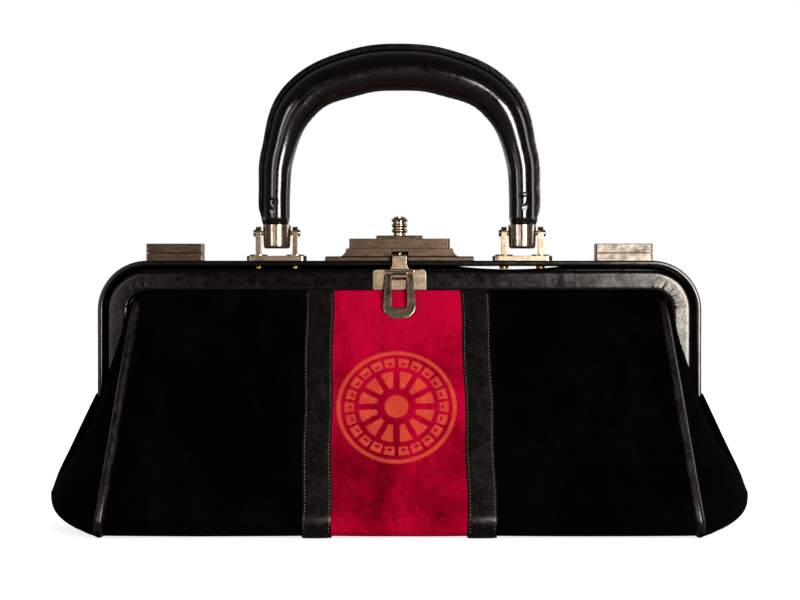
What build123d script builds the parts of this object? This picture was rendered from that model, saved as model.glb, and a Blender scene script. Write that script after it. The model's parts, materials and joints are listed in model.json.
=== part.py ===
"""Frame handbag: velvet body on a leather-covered hinged frame, with a rolled handle, push lock and clasps.

Millimetres. +X runs along the frame, -Y is the front, +Z is up. The origin is the middle of the base.
"""
import math
import os

from build123d import *

# General clearances
soft_gap = 0.3
seat_gap = 0.1
running_gap = 0.05
cut_over = 5.0

# Velvet body
wall = 1.8
strap_proud = 0.9
base_half_depth = 54.5
base_corner = 7.0
base_corner_shares = [0.0, 0.14, 0.5, 1.0]
panel_margin = 4.4
panel_flare = 12.4
panel_set_back = 0.4
gusset_bulge = 27.0
gusset_reach_height = 15.5
gusset_rim_clear = 4.2
gusset_least_bulge = 4.0
gusset_foot_bulge = 9.0
gusset_front_drop = 7.0
swing_room = 3.0
strap_swing_room = 1.0
piping_swing_room = 5.2
leg_sweep_rise = 8.5
red_half_width = 27.8
strap_width = 12.0
piping_radius = 2.0
board_thickness = 2.0
board_margin = 7.0
lining_thickness = 0.8

# Carrying band round the top of the frame
frame_half_width = 128.0
frame_top = 114.0
frame_corner = 21.0
band_thickness = 2.2
band_half_depth = 12.6
band_edge = 0.7
band_overlap = 3.0

# Leather-covered jaws and their steel bars
jaw_gap = 2.0
jaw_width = 8.8
jaw_front = 13.0
jaw_parting = 2.3
jaw_edge = 1.4
jaw_foot = 56.0
bar_thickness = 3.0
bar_depth = 6.0
rear_bar_inset = 1.6
sag_depth = 1.2
sag_length = 44.0
sag_middle = 47.5

# Frame hinge
hinge_drop = 6.0
eye_radius = 4.5
pin_radius = 1.6
pin_head_radius = 2.8
pin_head_height = 1.2

# Lock on the band
lock_plate_length = 63.5
lock_plate_depth = 17.0
lock_plate_thickness = 1.9
lock_plate_edge = 0.5
tier_length = 50.5
tier_top_length = 45.5
tier_depth = 13.5
tier_height = 3.4
tier_hollow_depth = 0.54
tier_hollow_drop = 0.36
case_length = 43.0
case_depth = 10.0
case_height = 4.25
case_edge = 0.9
case_wall = 1.0
case_room = 26.0
collar_length = 20.0
collar_depth = 7.6
collar_thickness = 1.35
notch_width = 7.6
notch_height = 3.9
notch_back = 2.5
lock_rivet_radius = 1.2
lock_rivet_inset = 3.4

# Push knob, latch and spring
knob_radius = 3.7
knob_ring_radius = 3.5
knob_groove_radius = 2.9
knob_neck_radius = 2.7
knob_height = 8.4
knob_lift = 1.25
knob_ring_height = 1.7
knob_groove_height = 0.55
dome_share_out = 0.72
dome_share_up = 0.68
knob_slot_width = 1.2
knob_slot_depth = 1.0
stem_radius = 1.2
shoulder_rise = 1.7
latch_thickness = 1.0
latch_width = 6.4
latch_rear = 2.6
nib_width = 2.4
nib_depth = 1.2
nib_drop = 0.6
well_gap = 0.4
spring_radius = 2.0
spring_wire = 0.3
spring_turns = 2.5

# Hasp on the front jaw and its pull bail
hasp_width = 22.5
hasp_height = 8.6
hasp_over = 0.4
hasp_thickness = 1.0
hasp_corner = 1.6
tongue_width = 6.0
tongue_over = 2.6
tongue_tip = -5.0
tongue_flare = 2.4
tongue_bend = 0.8
window_width = 3.2
window_depth = 2.0
prong_width = 2.2
prong_height = 1.0
prong_depth = 2.5
prong_offset = 8.0
barrel_drop = 2.9
barrel_radius = 1.5
barrel_width = 6.0
ridge_width = 12.0
ridge_height = 1.2
ridge_sink = 0.175
bail_pin_radius = 0.8
bail_thickness = 1.6
bail_length = 18.2
bail_top_half = 5.7
bail_foot_half = 7.3
bail_foot_corner = 5.2
bail_slot_half = 3.3
bail_bar = 4.6
bail_side_gap = 0.25

# Handle brackets
bracket_offset = 52.6
bracket_length = 25.6
bracket_depth = 10.0
bracket_thickness = 2.2
bracket_corner = 2.2
foot_radius = 3.9
foot_height = 0.6
post_spacing = 15.7
post_thickness = 2.3
post_depth = 5.6
handle_axis_rise = 9.8
handle_pin_radius = 1.0
handle_head_radius = 1.5
handle_head_height = 1.1
handle_head_round = 0.66
rivet_radius = 1.3
rivet_head_radius = 1.9
rivet_tail = 1.1

# Ferrules and rolled handle
ferrule_top_radius = 6.1
ferrule_foot_radius = 5.7
ferrule_above = 3.6
ferrule_below = 6.7
ferrule_edge = 1.2
socket_radius = 4.9
socket_depth = 2.0
handle_rise = 69.7
roll_end_radius = 5.6
roll_crown_radius = 8.7
welt_foot_proud = 2.1
welt_crown_proud = 2.9
welt_thickness = 1.9
welt_start_rise = 1.0
# Route of the half roll, from the ferrule to the crown:
# share of the half span, share of the rise, share of swelling
roll_shares = [
    (1.0, 0.085, 0.0),
    (1.0, 0.245, 0.04),
    (0.972, 0.485, 0.17),
    (0.782, 0.812, 0.72),
    (0.36, 0.968, 0.97),
    (0.0, 1.0, 1.0),
]

# Flip clasps on the band
clasp_inset = 32.0
clasp_length = 24.4
clasp_depth = 9.6
clasp_base_height = 3.4
clasp_cover_height = 4.0
clasp_part_line = 0.25
clasp_edge = 0.6
clasp_wall = 1.0
clasp_pocket_depth = 2.4
clasp_knuckle_radius = 1.7
clasp_knuckle_share = 0.42
clasp_pin_radius = 0.7
clasp_stud_radius = 1.6
clasp_stud_height = 1.4
clasp_rivet_radius = 1.1
clasp_rivet_spacing = 12.2

# Places that follow from the sizes above
band_under = frame_top - band_thickness
band_inner_half = frame_half_width - band_thickness
band_inner_corner = frame_corner - band_thickness
front_jaw_half = band_inner_half - jaw_gap
front_jaw_top = band_under - jaw_gap
front_jaw_corner = band_inner_corner - jaw_gap
mouth_height = front_jaw_top - jaw_width
front_jaw_inner_half = front_jaw_half - jaw_width
panel_half_width_mouth = front_jaw_inner_half - panel_margin
panel_half_width_base = panel_half_width_mouth + panel_flare
gusset_reach = panel_half_width_base + gusset_bulge
gusset_foot_reach = panel_half_width_base + gusset_foot_bulge
band_foot = jaw_foot - band_overlap
hinge_height = jaw_foot - hinge_drop
mouth_half_depth = jaw_front - panel_set_back
velvet_foot = strap_proud
front_edge_height = mouth_height - swing_room
strap_front_height = front_edge_height - strap_swing_room
piping_front_height = front_edge_height - piping_swing_room
rear_edge_height = mouth_height - soft_gap
gusset_rim_height = band_foot - soft_gap
gusset_rim_reach = frame_half_width + gusset_rim_clear
lock_plate_top = frame_top + lock_plate_thickness
tier_top = lock_plate_top + tier_height
case_top = tier_top + case_height
collar_top = case_top + collar_thickness
knob_top = collar_top + knob_height
latch_top = frame_top - seat_gap
stem_shoulder = tier_top + shoulder_rise
hasp_top = front_jaw_top + hasp_over
hasp_foot = hasp_top - hasp_height
tongue_top = frame_top + tongue_over
tongue_under = tongue_top - hasp_thickness
barrel_height = hasp_top - barrel_drop
bracket_top = frame_top + bracket_thickness
handle_axis = bracket_top + handle_axis_rise
clasp_offset = frame_half_width - clasp_inset
clasp_split = frame_top + clasp_base_height
clasp_axis_height = clasp_split + clasp_part_line / 2
clasp_axis_depth = clasp_depth / 2 + clasp_knuckle_radius


def block(length, depth, height, x=0, y=0, z=0):
    """A box with its middle at x, y and its foot at z."""
    return Pos(x, y, z + height / 2) * Box(length, depth, height)


def rod_x(radius, start, end, y, z):
    """A round bar along X."""
    return Pos((start + end) / 2, y, z) * Rot(Y=90) * Cylinder(radius, end - start)


def rod_z(radius, start, end, x=0, y=0):
    """A round bar along Z."""
    return Pos(x, y, (start + end) / 2) * Cylinder(radius, end - start)


def raise_front(sketch, y_front, y_back):
    """Extrudes a drawing of the front view from y_front to y_back."""
    return Pos(0, y_front, 0) * extrude(Plane.XZ * sketch, amount=y_back - y_front, dir=(0, 1, 0))


def arch_outline(half_width, top, foot, corner):
    """A front-view outline with square feet and round upper corners."""
    outline = Pos(0, (top + foot) / 2) * Rectangle(2 * half_width, top - foot)
    return fillet(outline.vertices().group_by(Axis.Y)[-1], corner)


def arch(half_width, top, foot, corner, thickness, y_front, y_back):
    """An inverted U of one thickness, from y_front to y_back."""
    outer = arch_outline(half_width, top, foot, corner)
    inner = arch_outline(half_width - thickness, top - thickness, foot - cut_over, corner - thickness)
    return raise_front(outer - inner, y_front, y_back)


def soften(solid, radius, *planes_y):
    """Rounds the long edges of a prism that lie on the given front or back planes."""
    chosen = []
    for e in solid.edges():
        on_plane = any(abs(e.center().Y - y) < soft_gap / 10 for y in planes_y)
        at_foot = e.geom_type == GeomType.LINE and e.center().Z < jaw_foot + soft_gap
        if on_plane and not (at_foot and e.length < 2 * jaw_width):
            chosen.append(e)
    return fillet(chosen, radius)


# Velvet body


def panel_half_width(z):
    """Half the width of the front panel, to the middle of its piping."""
    share = (mouth_height - z) / mouth_height
    return panel_half_width_mouth + (panel_half_width_base - panel_half_width_mouth) * share


def panel_half_depth(z, inset=0):
    """How far the panel stands from the middle plane, taken in by an inset, with the base corner rounded."""
    straight = mouth_height - base_corner
    share = (mouth_height - z) / straight
    depth = mouth_half_depth + (base_half_depth - mouth_half_depth) * min(share, 1.0) - inset
    radius = base_corner - inset
    below = max(base_corner + velvet_foot - z, 0.0)
    return depth - (radius - math.sqrt(max(radius**2 - below**2, 0.0)))


def gusset_half_reach(z, inset=0):
    """How far the middle of the gusset stands out at a height, taken in by an inset."""
    if z >= gusset_reach_height:
        slope = (gusset_reach - gusset_rim_reach) / (gusset_rim_height - gusset_reach_height)
        least = panel_half_width(z) + gusset_least_bulge
        return max(gusset_reach - slope * (z - gusset_reach_height), least) - inset
    drop = (gusset_reach_height - z) / (gusset_reach_height - velvet_foot - inset)
    round_in = 1.0 - math.sqrt(max(1.0 - drop**2, 0.0))
    return gusset_reach - (gusset_reach - gusset_foot_reach) * round_in - inset


def plan_face(z, inset):
    """Plan of the body at one height, taken in all round."""
    half_width = panel_half_width(z)
    half_depth = panel_half_depth(z, inset)
    reach = gusset_half_reach(z, inset)
    corner = (half_width, half_depth)
    outline = [
        Line((-half_width, -half_depth), (half_width, -half_depth)),
        ThreePointArc((half_width, -half_depth), (reach, 0), corner),
        Line(corner, (-half_width, half_depth)),
        ThreePointArc((-half_width, half_depth), (-reach, 0), (-half_width, -half_depth)),
    ]
    return Pos(0, 0, z) * make_face(outline)


def body_loft(inset, top):
    """The closed outer form of the body, taken in by an inset, up to a height."""
    foot = velvet_foot + inset
    levels = [foot + (base_corner - inset) * share for share in base_corner_shares]
    levels += [gusset_reach_height, (gusset_reach_height + gusset_rim_height) / 2, gusset_rim_height, top]
    return loft([plan_face(level, inset) for level in levels], ruled=True)


def piping_side(offset, side):
    """Everything on the outer side of a piping plane, moved outwards by an offset."""
    top = mouth_height + cut_over
    at_foot = panel_half_width(-cut_over) + offset
    at_top = panel_half_width(top) + offset
    far = gusset_reach + cut_over
    outline = Polyline(
        (at_foot, -cut_over), (far, -cut_over), (far, top), (at_top, top), (at_foot, -cut_over))
    prism = raise_front(make_face(outline), -base_half_depth - cut_over, base_half_depth + cut_over)
    return prism if side > 0 else mirror(prism, about=Plane.YZ)


def between_sides(solid):
    """What lies between the two pipings."""
    for side in (-1, 1):
        solid = solid - piping_side(-piping_radius - seat_gap, side)
    return solid


def mouth_cut(edge_height):
    """Room above a front edge for the front jaw to swing over it."""
    height = mouth_height - edge_height + cut_over
    depth = base_half_depth + cut_over
    return block(2 * gusset_reach, depth, height, y=-depth / 2, z=edge_height)


def make_wrap():
    """Front, base and back of the body in one turn of cloth."""
    shell = body_loft(0, rear_edge_height) - body_loft(wall, rear_edge_height + seat_gap)
    return between_sides(shell - mouth_cut(front_edge_height))


def strip(solid, start, end):
    """The part of a solid between two places along X."""
    length = end - start
    depth = 2 * base_half_depth + 2 * cut_over
    return solid & block(length, depth, mouth_height + cut_over, x=start + length / 2)


def make_straps():
    """Leather strips sewn over the two velvet seams, round front, base and back."""
    layer = body_loft(-strap_proud, rear_edge_height) - body_loft(0, rear_edge_height + seat_gap)
    layer = layer - mouth_cut(strap_front_height)
    inner_edge = red_half_width
    outer_edge = red_half_width + strap_width
    return strip(layer, -outer_edge, -inner_edge), strip(layer, inner_edge, outer_edge)


def make_gusset(side):
    """Bulged velvet side, with room for the frame legs to swing."""
    shell = body_loft(0, rear_edge_height) - body_loft(wall, rear_edge_height + seat_gap)
    piece = shell & piping_side(piping_radius + seat_gap, side)
    far = gusset_reach + cut_over
    deep = base_half_depth + cut_over
    fall = gusset_front_drop / (panel_half_depth(gusset_rim_height))
    roof = Polyline(
        (0, gusset_rim_height),
        (-deep, gusset_rim_height - fall * deep),
        (-deep, mouth_height + cut_over),
        (jaw_front + soft_gap, mouth_height + cut_over),
        (jaw_front + soft_gap, gusset_rim_height),
        (0, gusset_rim_height),
    )
    roof_prism = Pos(-far, 0, 0) * extrude(Plane.YZ * make_face(roof), amount=2 * far)
    return piece - roof_prism


def make_piping(side):
    """Leather piping down the front edge, under the base and up the back edge."""
    def edge(z, y_side):
        return (side * panel_half_width(z), y_side * panel_half_depth(z), z)

    foot_half_depth = panel_half_depth(base_corner + velvet_foot)
    foot = (side * panel_half_width(piping_radius), foot_half_depth, piping_radius)
    route = [
        edge(piping_front_height, -1),
        (foot[0], -foot[1], foot[2]),
        foot,
        edge(rear_edge_height - piping_radius, 1),
    ]
    path = FilletPolyline(*route, radius=base_corner)
    section = Plane(origin=path @ 0, z_dir=path % 0) * Circle(piping_radius - seat_gap)
    return sweep(section, path=path) - leg_sweep(side)


def leg_sweep(side):
    """Room beside the front piping for a leg of the front jaw to swing past it."""
    start = front_jaw_inner_half - soft_gap
    length = gusset_reach - start
    depth = base_half_depth + cut_over
    foot = hinge_height + leg_sweep_rise
    height = mouth_height - foot
    return block(length, depth, height, side * (start + length / 2), -depth / 2, foot)


def make_board():
    """Stiff board that keeps the base flat."""
    half_x = panel_half_width(base_corner) - board_margin
    half_y = base_half_depth - board_margin - wall
    return block(2 * half_x, 2 * half_y, board_thickness, z=velvet_foot + wall + seat_gap)


def make_lining():
    """Cloth lining inside the velvet, over the board."""
    outside = wall + soft_gap
    inside = outside + lining_thickness
    floor = velvet_foot + wall + board_thickness + soft_gap
    shell = body_loft(outside, front_edge_height) - body_loft(inside, front_edge_height + cut_over)
    low_cut = block(2 * gusset_reach, 2 * base_half_depth, floor)
    sheet_floor = (body_loft(outside, front_edge_height) & block(
        2 * gusset_reach, 2 * base_half_depth, lining_thickness, z=floor))
    side_trim = [piping_side(-piping_radius, side) for side in (-1, 1)]
    return (shell - low_cut + sheet_floor) - side_trim[0] - side_trim[1]


# Frame


def make_band():
    """Leather-covered strip over the jaws that carries handle, lock and clasps."""
    band = arch(
        frame_half_width, frame_top, band_foot, frame_corner, band_thickness,
        -band_half_depth, band_half_depth)
    band = soften(band, band_edge, -band_half_depth, band_half_depth)
    for x, y, radius in rivet_places():
        band = band - rod_z(radius, band_under - cut_over, frame_top + cut_over, x, y)
    return band - latch_well()


def latch_well():
    """Opening in the band under the lock for the latch plate."""
    depth = latch_rear - latch_front() + 2 * well_gap
    middle = (latch_rear + latch_front()) / 2
    height = band_thickness + 2 * cut_over
    return block(latch_width + 2 * well_gap, depth, height, y=middle, z=band_under - cut_over)


def post_places():
    """Middles of the four handle posts along X."""
    return [
        side * bracket_offset + hand * post_spacing / 2
        for side in (-1, 1) for hand in (-1, 1)
    ]


def lock_rivet_places():
    """Middles of the lock plate's two rivets along X."""
    reach = lock_plate_length / 2 - lock_rivet_inset
    return [-reach, reach]


def clasp_rivet_places():
    """Middles of the clasp bases' rivets along X."""
    return [side * clasp_offset + hand * clasp_rivet_spacing / 2 for side in (-1, 1) for hand in (-1, 1)]


def rivet_places():
    """Every hole through the band: x, y and radius."""
    places = [(x, 0, rivet_radius + running_gap) for x in post_places()]
    places += [(x, 0, lock_rivet_radius + running_gap) for x in lock_rivet_places()]
    return places + [(x, 0, clasp_rivet_radius + running_gap) for x in clasp_rivet_places()]


def front_bar_half():
    """Outer half width of the front steel bar, in the middle of its cover."""
    return front_jaw_half - (jaw_width - bar_thickness) / 2


def rear_bar_half():
    """Outer half width of the rear steel bar, just outside the front one."""
    return band_inner_half - rear_bar_inset


def make_bar(outer_half, top, corner, y_middle):
    """Steel bar of one jaw, with a hinge eye at each foot."""
    front, back = y_middle - bar_depth / 2, y_middle + bar_depth / 2
    bar = arch(outer_half, top, jaw_foot, corner, bar_thickness, front, back)
    leg = Pos(y_middle, jaw_foot - bar_thickness / 2) * Rectangle(bar_depth, bar_thickness)
    disc = Pos(jaw_parting, hinge_height) * Circle(eye_radius)
    eye = make_hull(leg.edges() + disc.edges())
    for inner in (outer_half - bar_thickness, -outer_half):
        bar = bar + Pos(inner, 0, 0) * extrude(Plane.YZ * eye, amount=bar_thickness)
    for side in (-1, 1):
        middle = side * (outer_half - bar_thickness / 2)
        low, high = middle - bar_thickness, middle + bar_thickness
        bar = bar - rod_x(pin_radius + running_gap, low, high, jaw_parting, hinge_height)
    return bar


def bar_channel(outer_half, top, corner, y_middle):
    """The hollow in a leather cover that a steel bar lies in."""
    half = bar_depth / 2 + seat_gap
    return arch(
        outer_half + seat_gap, top + seat_gap, jaw_foot - cut_over, corner + seat_gap,
        bar_thickness + 2 * seat_gap, y_middle - half, y_middle + half)


def front_bar_args():
    """Size and place of the front bar."""
    inset = (jaw_width - bar_thickness) / 2
    middle = (jaw_parting - soft_gap - jaw_front) / 2
    return front_bar_half(), front_jaw_top - inset, front_jaw_corner - inset, middle


def rear_bar_args():
    """Size and place of the rear bar."""
    middle = (jaw_parting + soft_gap + jaw_front) / 2
    return rear_bar_half(), band_under - rear_bar_inset, band_inner_corner - rear_bar_inset, middle


def make_front_cover():
    """Leather cover of the front jaw."""
    y_back = jaw_parting - soft_gap
    cover = arch(front_jaw_half, front_jaw_top, jaw_foot, front_jaw_corner, jaw_width, -jaw_front, y_back)
    cover = soften(cover, jaw_edge, -jaw_front, y_back)
    cover = cover - bar_channel(*front_bar_args())
    for hand in (-1, 1):
        cover = cover - block(
            prong_width + 2 * seat_gap, prong_depth + seat_gap, prong_height + 2 * seat_gap,
            hand * prong_offset, (prong_depth + seat_gap) / 2 - jaw_front, prong_foot() - seat_gap)
    return cover


def make_rear_cover():
    """Leather cover of the rear jaw, sunk a little beside the right bracket."""
    y_front = jaw_parting + soft_gap
    width = band_inner_half - (front_jaw_half - jaw_width)
    cover = arch(band_inner_half, band_under, jaw_foot, band_inner_corner, width, y_front, jaw_front)
    cover = soften(cover, jaw_edge, jaw_front)
    sag_radius = (sag_length**2 / 4 + sag_depth**2) / (2 * sag_depth)
    sag_place = Pos(sag_middle, 0, band_under - sag_depth + sag_radius)
    sag = sag_place * Rot(X=90) * Cylinder(sag_radius, 4 * jaw_front)
    return cover - sag - bar_channel(*rear_bar_args())


def make_hinge_pin(side):
    """Rivet through the two hinge eyes of one side."""
    start = front_bar_half() - bar_thickness - seat_gap
    end = rear_bar_half() + seat_gap
    pin = rod_x(pin_radius, start, end, jaw_parting, hinge_height)
    for low in (start - pin_head_height, end):
        pin = pin + rod_x(pin_head_radius, low, low + pin_head_height, jaw_parting, hinge_height)
    return pin if side > 0 else mirror(pin, about=Plane.YZ)


# Lock


def notch():
    """The slot in the lock's front that the hasp tongue goes into."""
    depth = lock_plate_depth / 2 - notch_back + cut_over
    return block(notch_width, depth, notch_height, y=-notch_back - depth / 2, z=frame_top)


def make_lock_plate():
    """Base plate of the lock."""
    plate = block(lock_plate_length, lock_plate_depth, lock_plate_thickness, z=frame_top)
    plate = chamfer(plate.faces().sort_by(Axis.Z)[-1].edges(), lock_plate_edge)
    low, high = frame_top - cut_over, lock_plate_top + cut_over
    plate = plate - notch() - rod_z(stem_radius + running_gap, low, high)
    for x in lock_rivet_places():
        plate = plate - rod_z(lock_rivet_radius + running_gap, low, high, x)
    return plate


def make_lock_case():
    """Stepped case over the latch: a hollow-ended lower tier and a square upper tier."""
    half, half_top = tier_length / 2, tier_top_length / 2
    hollow = (half + half_top) / 2 - tier_hollow_depth
    low, high = lock_plate_top, tier_top
    middle = (low + high) / 2 - tier_hollow_drop
    outline = [
        Line((-half, low), (half, low)),
        ThreePointArc((half, low), (hollow, middle), (half_top, high)),
        Line((half_top, high), (-half_top, high)),
        ThreePointArc((-half_top, high), (-hollow, middle), (-half, low)),
    ]
    tier = raise_front(make_face(outline), -tier_depth / 2, tier_depth / 2)
    upper = block(case_length, case_depth, case_height, z=tier_top)
    upper = chamfer(upper.edges().filter_by(Axis.Z), case_edge)
    room_height = case_top - case_wall - lock_plate_top
    room = block(case_room, case_depth - 2 * case_wall, room_height, z=lock_plate_top)
    case = tier + upper - room - notch()
    return case - rod_z(knob_neck_radius + seat_gap, tier_top, case_top + cut_over)


def make_collar():
    """Thin plate round the foot of the knob."""
    plate = block(collar_length, collar_depth, collar_thickness, z=case_top)
    plate = chamfer(plate.faces().sort_by(Axis.Z)[-1].edges(), collar_thickness / 3)
    return plate - rod_z(knob_neck_radius + seat_gap, case_top - cut_over, collar_top + cut_over)


def make_knob():
    """Turned knob with two rings, a slotted dome and a stem down to the latch."""
    ring_one = collar_top + knob_lift
    groove_one = ring_one + knob_ring_height
    ring_two = groove_one + knob_groove_height
    groove_two = ring_two + knob_ring_height
    dome = groove_two + knob_groove_height
    rim = dome + knob_groove_height
    shoulder = (knob_radius * dome_share_out, rim + (knob_top - rim) * dome_share_up)
    outline = [
        Polyline(
            (0, latch_top), (stem_radius, latch_top), (stem_radius, stem_shoulder),
            (knob_neck_radius, stem_shoulder), (knob_neck_radius, ring_one), (knob_groove_radius, ring_one)),
        ThreePointArc(
            (knob_groove_radius, ring_one), (knob_ring_radius, (ring_one + groove_one) / 2),
            (knob_groove_radius, groove_one)),
        Line((knob_groove_radius, groove_one), (knob_groove_radius, ring_two)),
        ThreePointArc(
            (knob_groove_radius, ring_two), (knob_ring_radius, (ring_two + groove_two) / 2),
            (knob_groove_radius, groove_two)),
        Line((knob_groove_radius, groove_two), (knob_groove_radius, dome)),
        Line((knob_groove_radius, dome), (knob_radius, rim)),
        ThreePointArc((knob_radius, rim), shoulder, (0, knob_top)),
        Line((0, knob_top), (0, latch_top)),
    ]
    knob = revolve(Plane.XZ * make_face(outline), axis=Axis.Z)
    slot_foot = knob_top - knob_slot_depth
    return knob - block(knob_slot_width, 3 * knob_radius, knob_slot_depth + cut_over, z=slot_foot)


def latch_front():
    """Front edge of the latch plate."""
    return nib_middle() - nib_depth


def nib_middle():
    """Where the latch nib stands, under the window of the tongue."""
    return tongue_tip - window_depth - nib_depth / 4


def make_latch():
    """Latch plate on the foot of the stem, with the nib that holds the tongue."""
    depth = latch_rear - latch_front()
    middle = (latch_rear + latch_front()) / 2
    plate = block(latch_width, depth, latch_thickness, y=middle, z=latch_top - latch_thickness)
    nib_top = tongue_under - nib_drop
    return plate + block(nib_width, nib_depth, nib_top - latch_top, y=nib_middle(), z=latch_top)


def make_spring():
    """Coil spring round the stem, between the base plate and the shoulder."""
    foot = lock_plate_top + spring_wire + running_gap
    height = stem_shoulder - spring_wire - running_gap - foot
    path = Pos(0, 0, foot) * Helix(pitch=height / spring_turns, height=height, radius=spring_radius)
    section = Plane(origin=path @ 0, z_dir=path % 0) * Circle(spring_wire)
    return sweep(section, path=path, is_frenet=True)


def make_lock_rivets():
    """Flush rivets through the lock plate and the band."""
    return [rod_z(lock_rivet_radius, band_under, lock_plate_top, x) for x in lock_rivet_places()]


# Hasp and bail


def prong_foot():
    """Lower side of the hasp's prongs."""
    return (hasp_foot + barrel_height) / 2 - prong_height


def barrel_depth():
    """How far in front the bail's hinge lies."""
    corner = math.hypot(bail_pin_radius + bail_side_gap, bail_thickness / 2)
    return -jaw_front - hasp_thickness - corner - soft_gap / 2


def bail_lean():
    """Angle at which the bail hangs, resting close to the panel."""
    rest = panel_half_depth(barrel_height - bail_length) + bail_thickness / 2 + soft_gap
    return math.degrees(math.asin((rest + barrel_depth()) / bail_length))


def make_hasp():
    """Plate on the front jaw with a tongue over the band, a hinge barrel and two prongs."""
    body = Pos(0, (hasp_foot + hasp_top) / 2) * Rectangle(hasp_width, hasp_top - hasp_foot)
    body = fillet(body.vertices().group_by(Axis.Y)[-1], hasp_corner)
    stalk_foot = hasp_top - hasp_corner
    half = tongue_width / 2
    stalk = Pos(0, (stalk_foot + tongue_top) / 2) * Rectangle(tongue_width, tongue_top - stalk_foot)
    outline = body + stalk
    for hand in (-1, 1):
        corner_place = Pos(hand * (half + tongue_flare / 2), hasp_top + tongue_flare / 2)
        corner = corner_place * Rectangle(tongue_flare, tongue_flare)
        round_cut = Pos(hand * (half + tongue_flare), hasp_top + tongue_flare) * Circle(tongue_flare)
        outline = outline + (corner - round_cut)
    front = -jaw_front - hasp_thickness
    plate = raise_front(outline, front, -jaw_front)
    reach = tongue_tip - front
    tongue = block(tongue_width, reach, hasp_thickness, y=front + reach / 2, z=tongue_under)
    window_foot = tongue_under - hasp_thickness
    window = block(window_width, window_depth, 3 * hasp_thickness, y=nib_middle(), z=window_foot)
    tongue = tongue - window
    bend_cut = plate + tongue
    top_edge = [
        e for e in bend_cut.edges()
        if abs(e.center().Y - front) < soft_gap / 10 and abs(e.center().Z - tongue_top) < soft_gap / 10
    ]
    hasp = fillet(top_edge, tongue_bend)
    barrel = rod_x(barrel_radius, -barrel_width / 2, barrel_width / 2, barrel_depth(), barrel_height)
    web_depth = -barrel_depth() - jaw_front
    web = block(barrel_width, web_depth, barrel_radius, y=(barrel_depth() - jaw_front) / 2, z=barrel_height)
    ridge_foot = barrel_height + barrel_radius + soft_gap
    ridge_middle = ridge_foot + ridge_height / 2
    ridge = rod_x(ridge_height / 2, -ridge_width / 2, ridge_width / 2, front - ridge_sink, ridge_middle)
    hasp = hasp + barrel + web + ridge
    for hand in (-1, 1):
        hasp = hasp + block(
            prong_width, prong_depth + hasp_thickness / 2, prong_height, hand * prong_offset,
            (prong_depth - hasp_thickness / 2) / 2 - jaw_front, prong_foot())
    bore = rod_x(bail_pin_radius + running_gap, -hasp_width, hasp_width, barrel_depth(), barrel_height)
    return hasp - bore


def make_bail():
    """Flat pull loop that hangs from the hasp and leans on the panel."""
    shoulder = bail_pin_radius + bail_side_gap
    outline = Polyline(
        (bail_top_half, shoulder), (bail_foot_half, -bail_length), (-bail_foot_half, -bail_length),
        (-bail_top_half, shoulder), (bail_top_half, shoulder))
    plate = make_face(outline)
    plate = fillet(plate.vertices().group_by(Axis.Y)[0], bail_foot_corner)
    slot_foot = bail_bar - bail_length
    slot_height = shoulder - slot_foot
    slot = Pos(0, slot_foot + slot_height) * Rectangle(2 * bail_slot_half, 2 * slot_height)
    slot = fillet(slot.vertices().group_by(Axis.Y)[0], bail_slot_half / 3)
    loop = raise_front(plate - slot, -bail_thickness / 2, bail_thickness / 2)
    loop = loop + rod_x(bail_pin_radius, -bail_top_half + shoulder, bail_top_half - shoulder, 0, 0)
    return Pos(0, barrel_depth(), barrel_height) * Rot(X=-bail_lean()) * loop


# Handle


def make_bracket(side):
    """Cast bracket: a plate with two round feet and two posts for the handle pin."""
    middle = side * bracket_offset
    plate = block(bracket_length, bracket_depth, bracket_thickness, middle, z=frame_top)
    plate = fillet(plate.edges().filter_by(Axis.Z), bracket_corner)
    post_round = post_depth / 2
    for hand in (-1, 1):
        x = middle + hand * post_spacing / 2
        plate = plate + rod_z(foot_radius, bracket_top, bracket_top + foot_height, x)
        post = block(post_thickness, post_depth, handle_axis - bracket_top, x, z=bracket_top)
        top = rod_x(post_round, x - post_thickness / 2, x + post_thickness / 2, 0, handle_axis)
        bore = rod_x(handle_pin_radius + running_gap, x - post_thickness, x + post_thickness, 0, handle_axis)
        plate = plate + post + top - bore
        plate = plate - rod_z(rivet_radius + running_gap, frame_top - cut_over, bracket_top, x)
    return plate


def make_handle_pin(side):
    """Pin through both posts and the ferrule, with a domed head at each end."""
    middle = side * bracket_offset
    half = post_spacing / 2 + post_thickness / 2 + running_gap
    pin = rod_x(handle_pin_radius, middle - half, middle + half, 0, handle_axis)
    for low in (middle - half - handle_head_height, middle + half):
        head = rod_x(handle_head_radius, low, low + handle_head_height, 0, handle_axis)
        outer = head.faces().sort_by(Axis.X)[0 if low < middle else -1]
        pin = pin + fillet(outer.edges(), handle_head_round)
    return pin


def make_post_rivets():
    """Brass rivets that hold the posts, with tails under the band."""
    rivets = []
    for x in post_places():
        shank = rod_z(rivet_radius, band_under - rivet_tail / 2, bracket_top, x)
        rivets.append(shank + rod_z(rivet_head_radius, band_under - rivet_tail, band_under, x))
    return rivets


def make_ferrule(side):
    """Tapered metal cup on the handle's end, bored across for the pin."""
    low, high = handle_axis - ferrule_below, handle_axis + ferrule_above
    outline = Polyline((0, low), (ferrule_foot_radius, low), (ferrule_top_radius, high), (0, high), (0, low))
    profile = make_face(outline)
    rim = [v for v in profile.vertices() if v.X > 0 and abs(v.Y - low) < soft_gap]
    cup = revolve(Plane.XZ * fillet(rim, ferrule_edge), axis=Axis.Z)
    cup = cup - rod_z(socket_radius + seat_gap, high - socket_depth, high + cut_over)
    across = 2 * ferrule_top_radius
    bore = rod_x(handle_pin_radius + running_gap, -across, across, 0, handle_axis)
    return Pos(side * bracket_offset, 0, 0) * (cup - bore)


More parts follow.
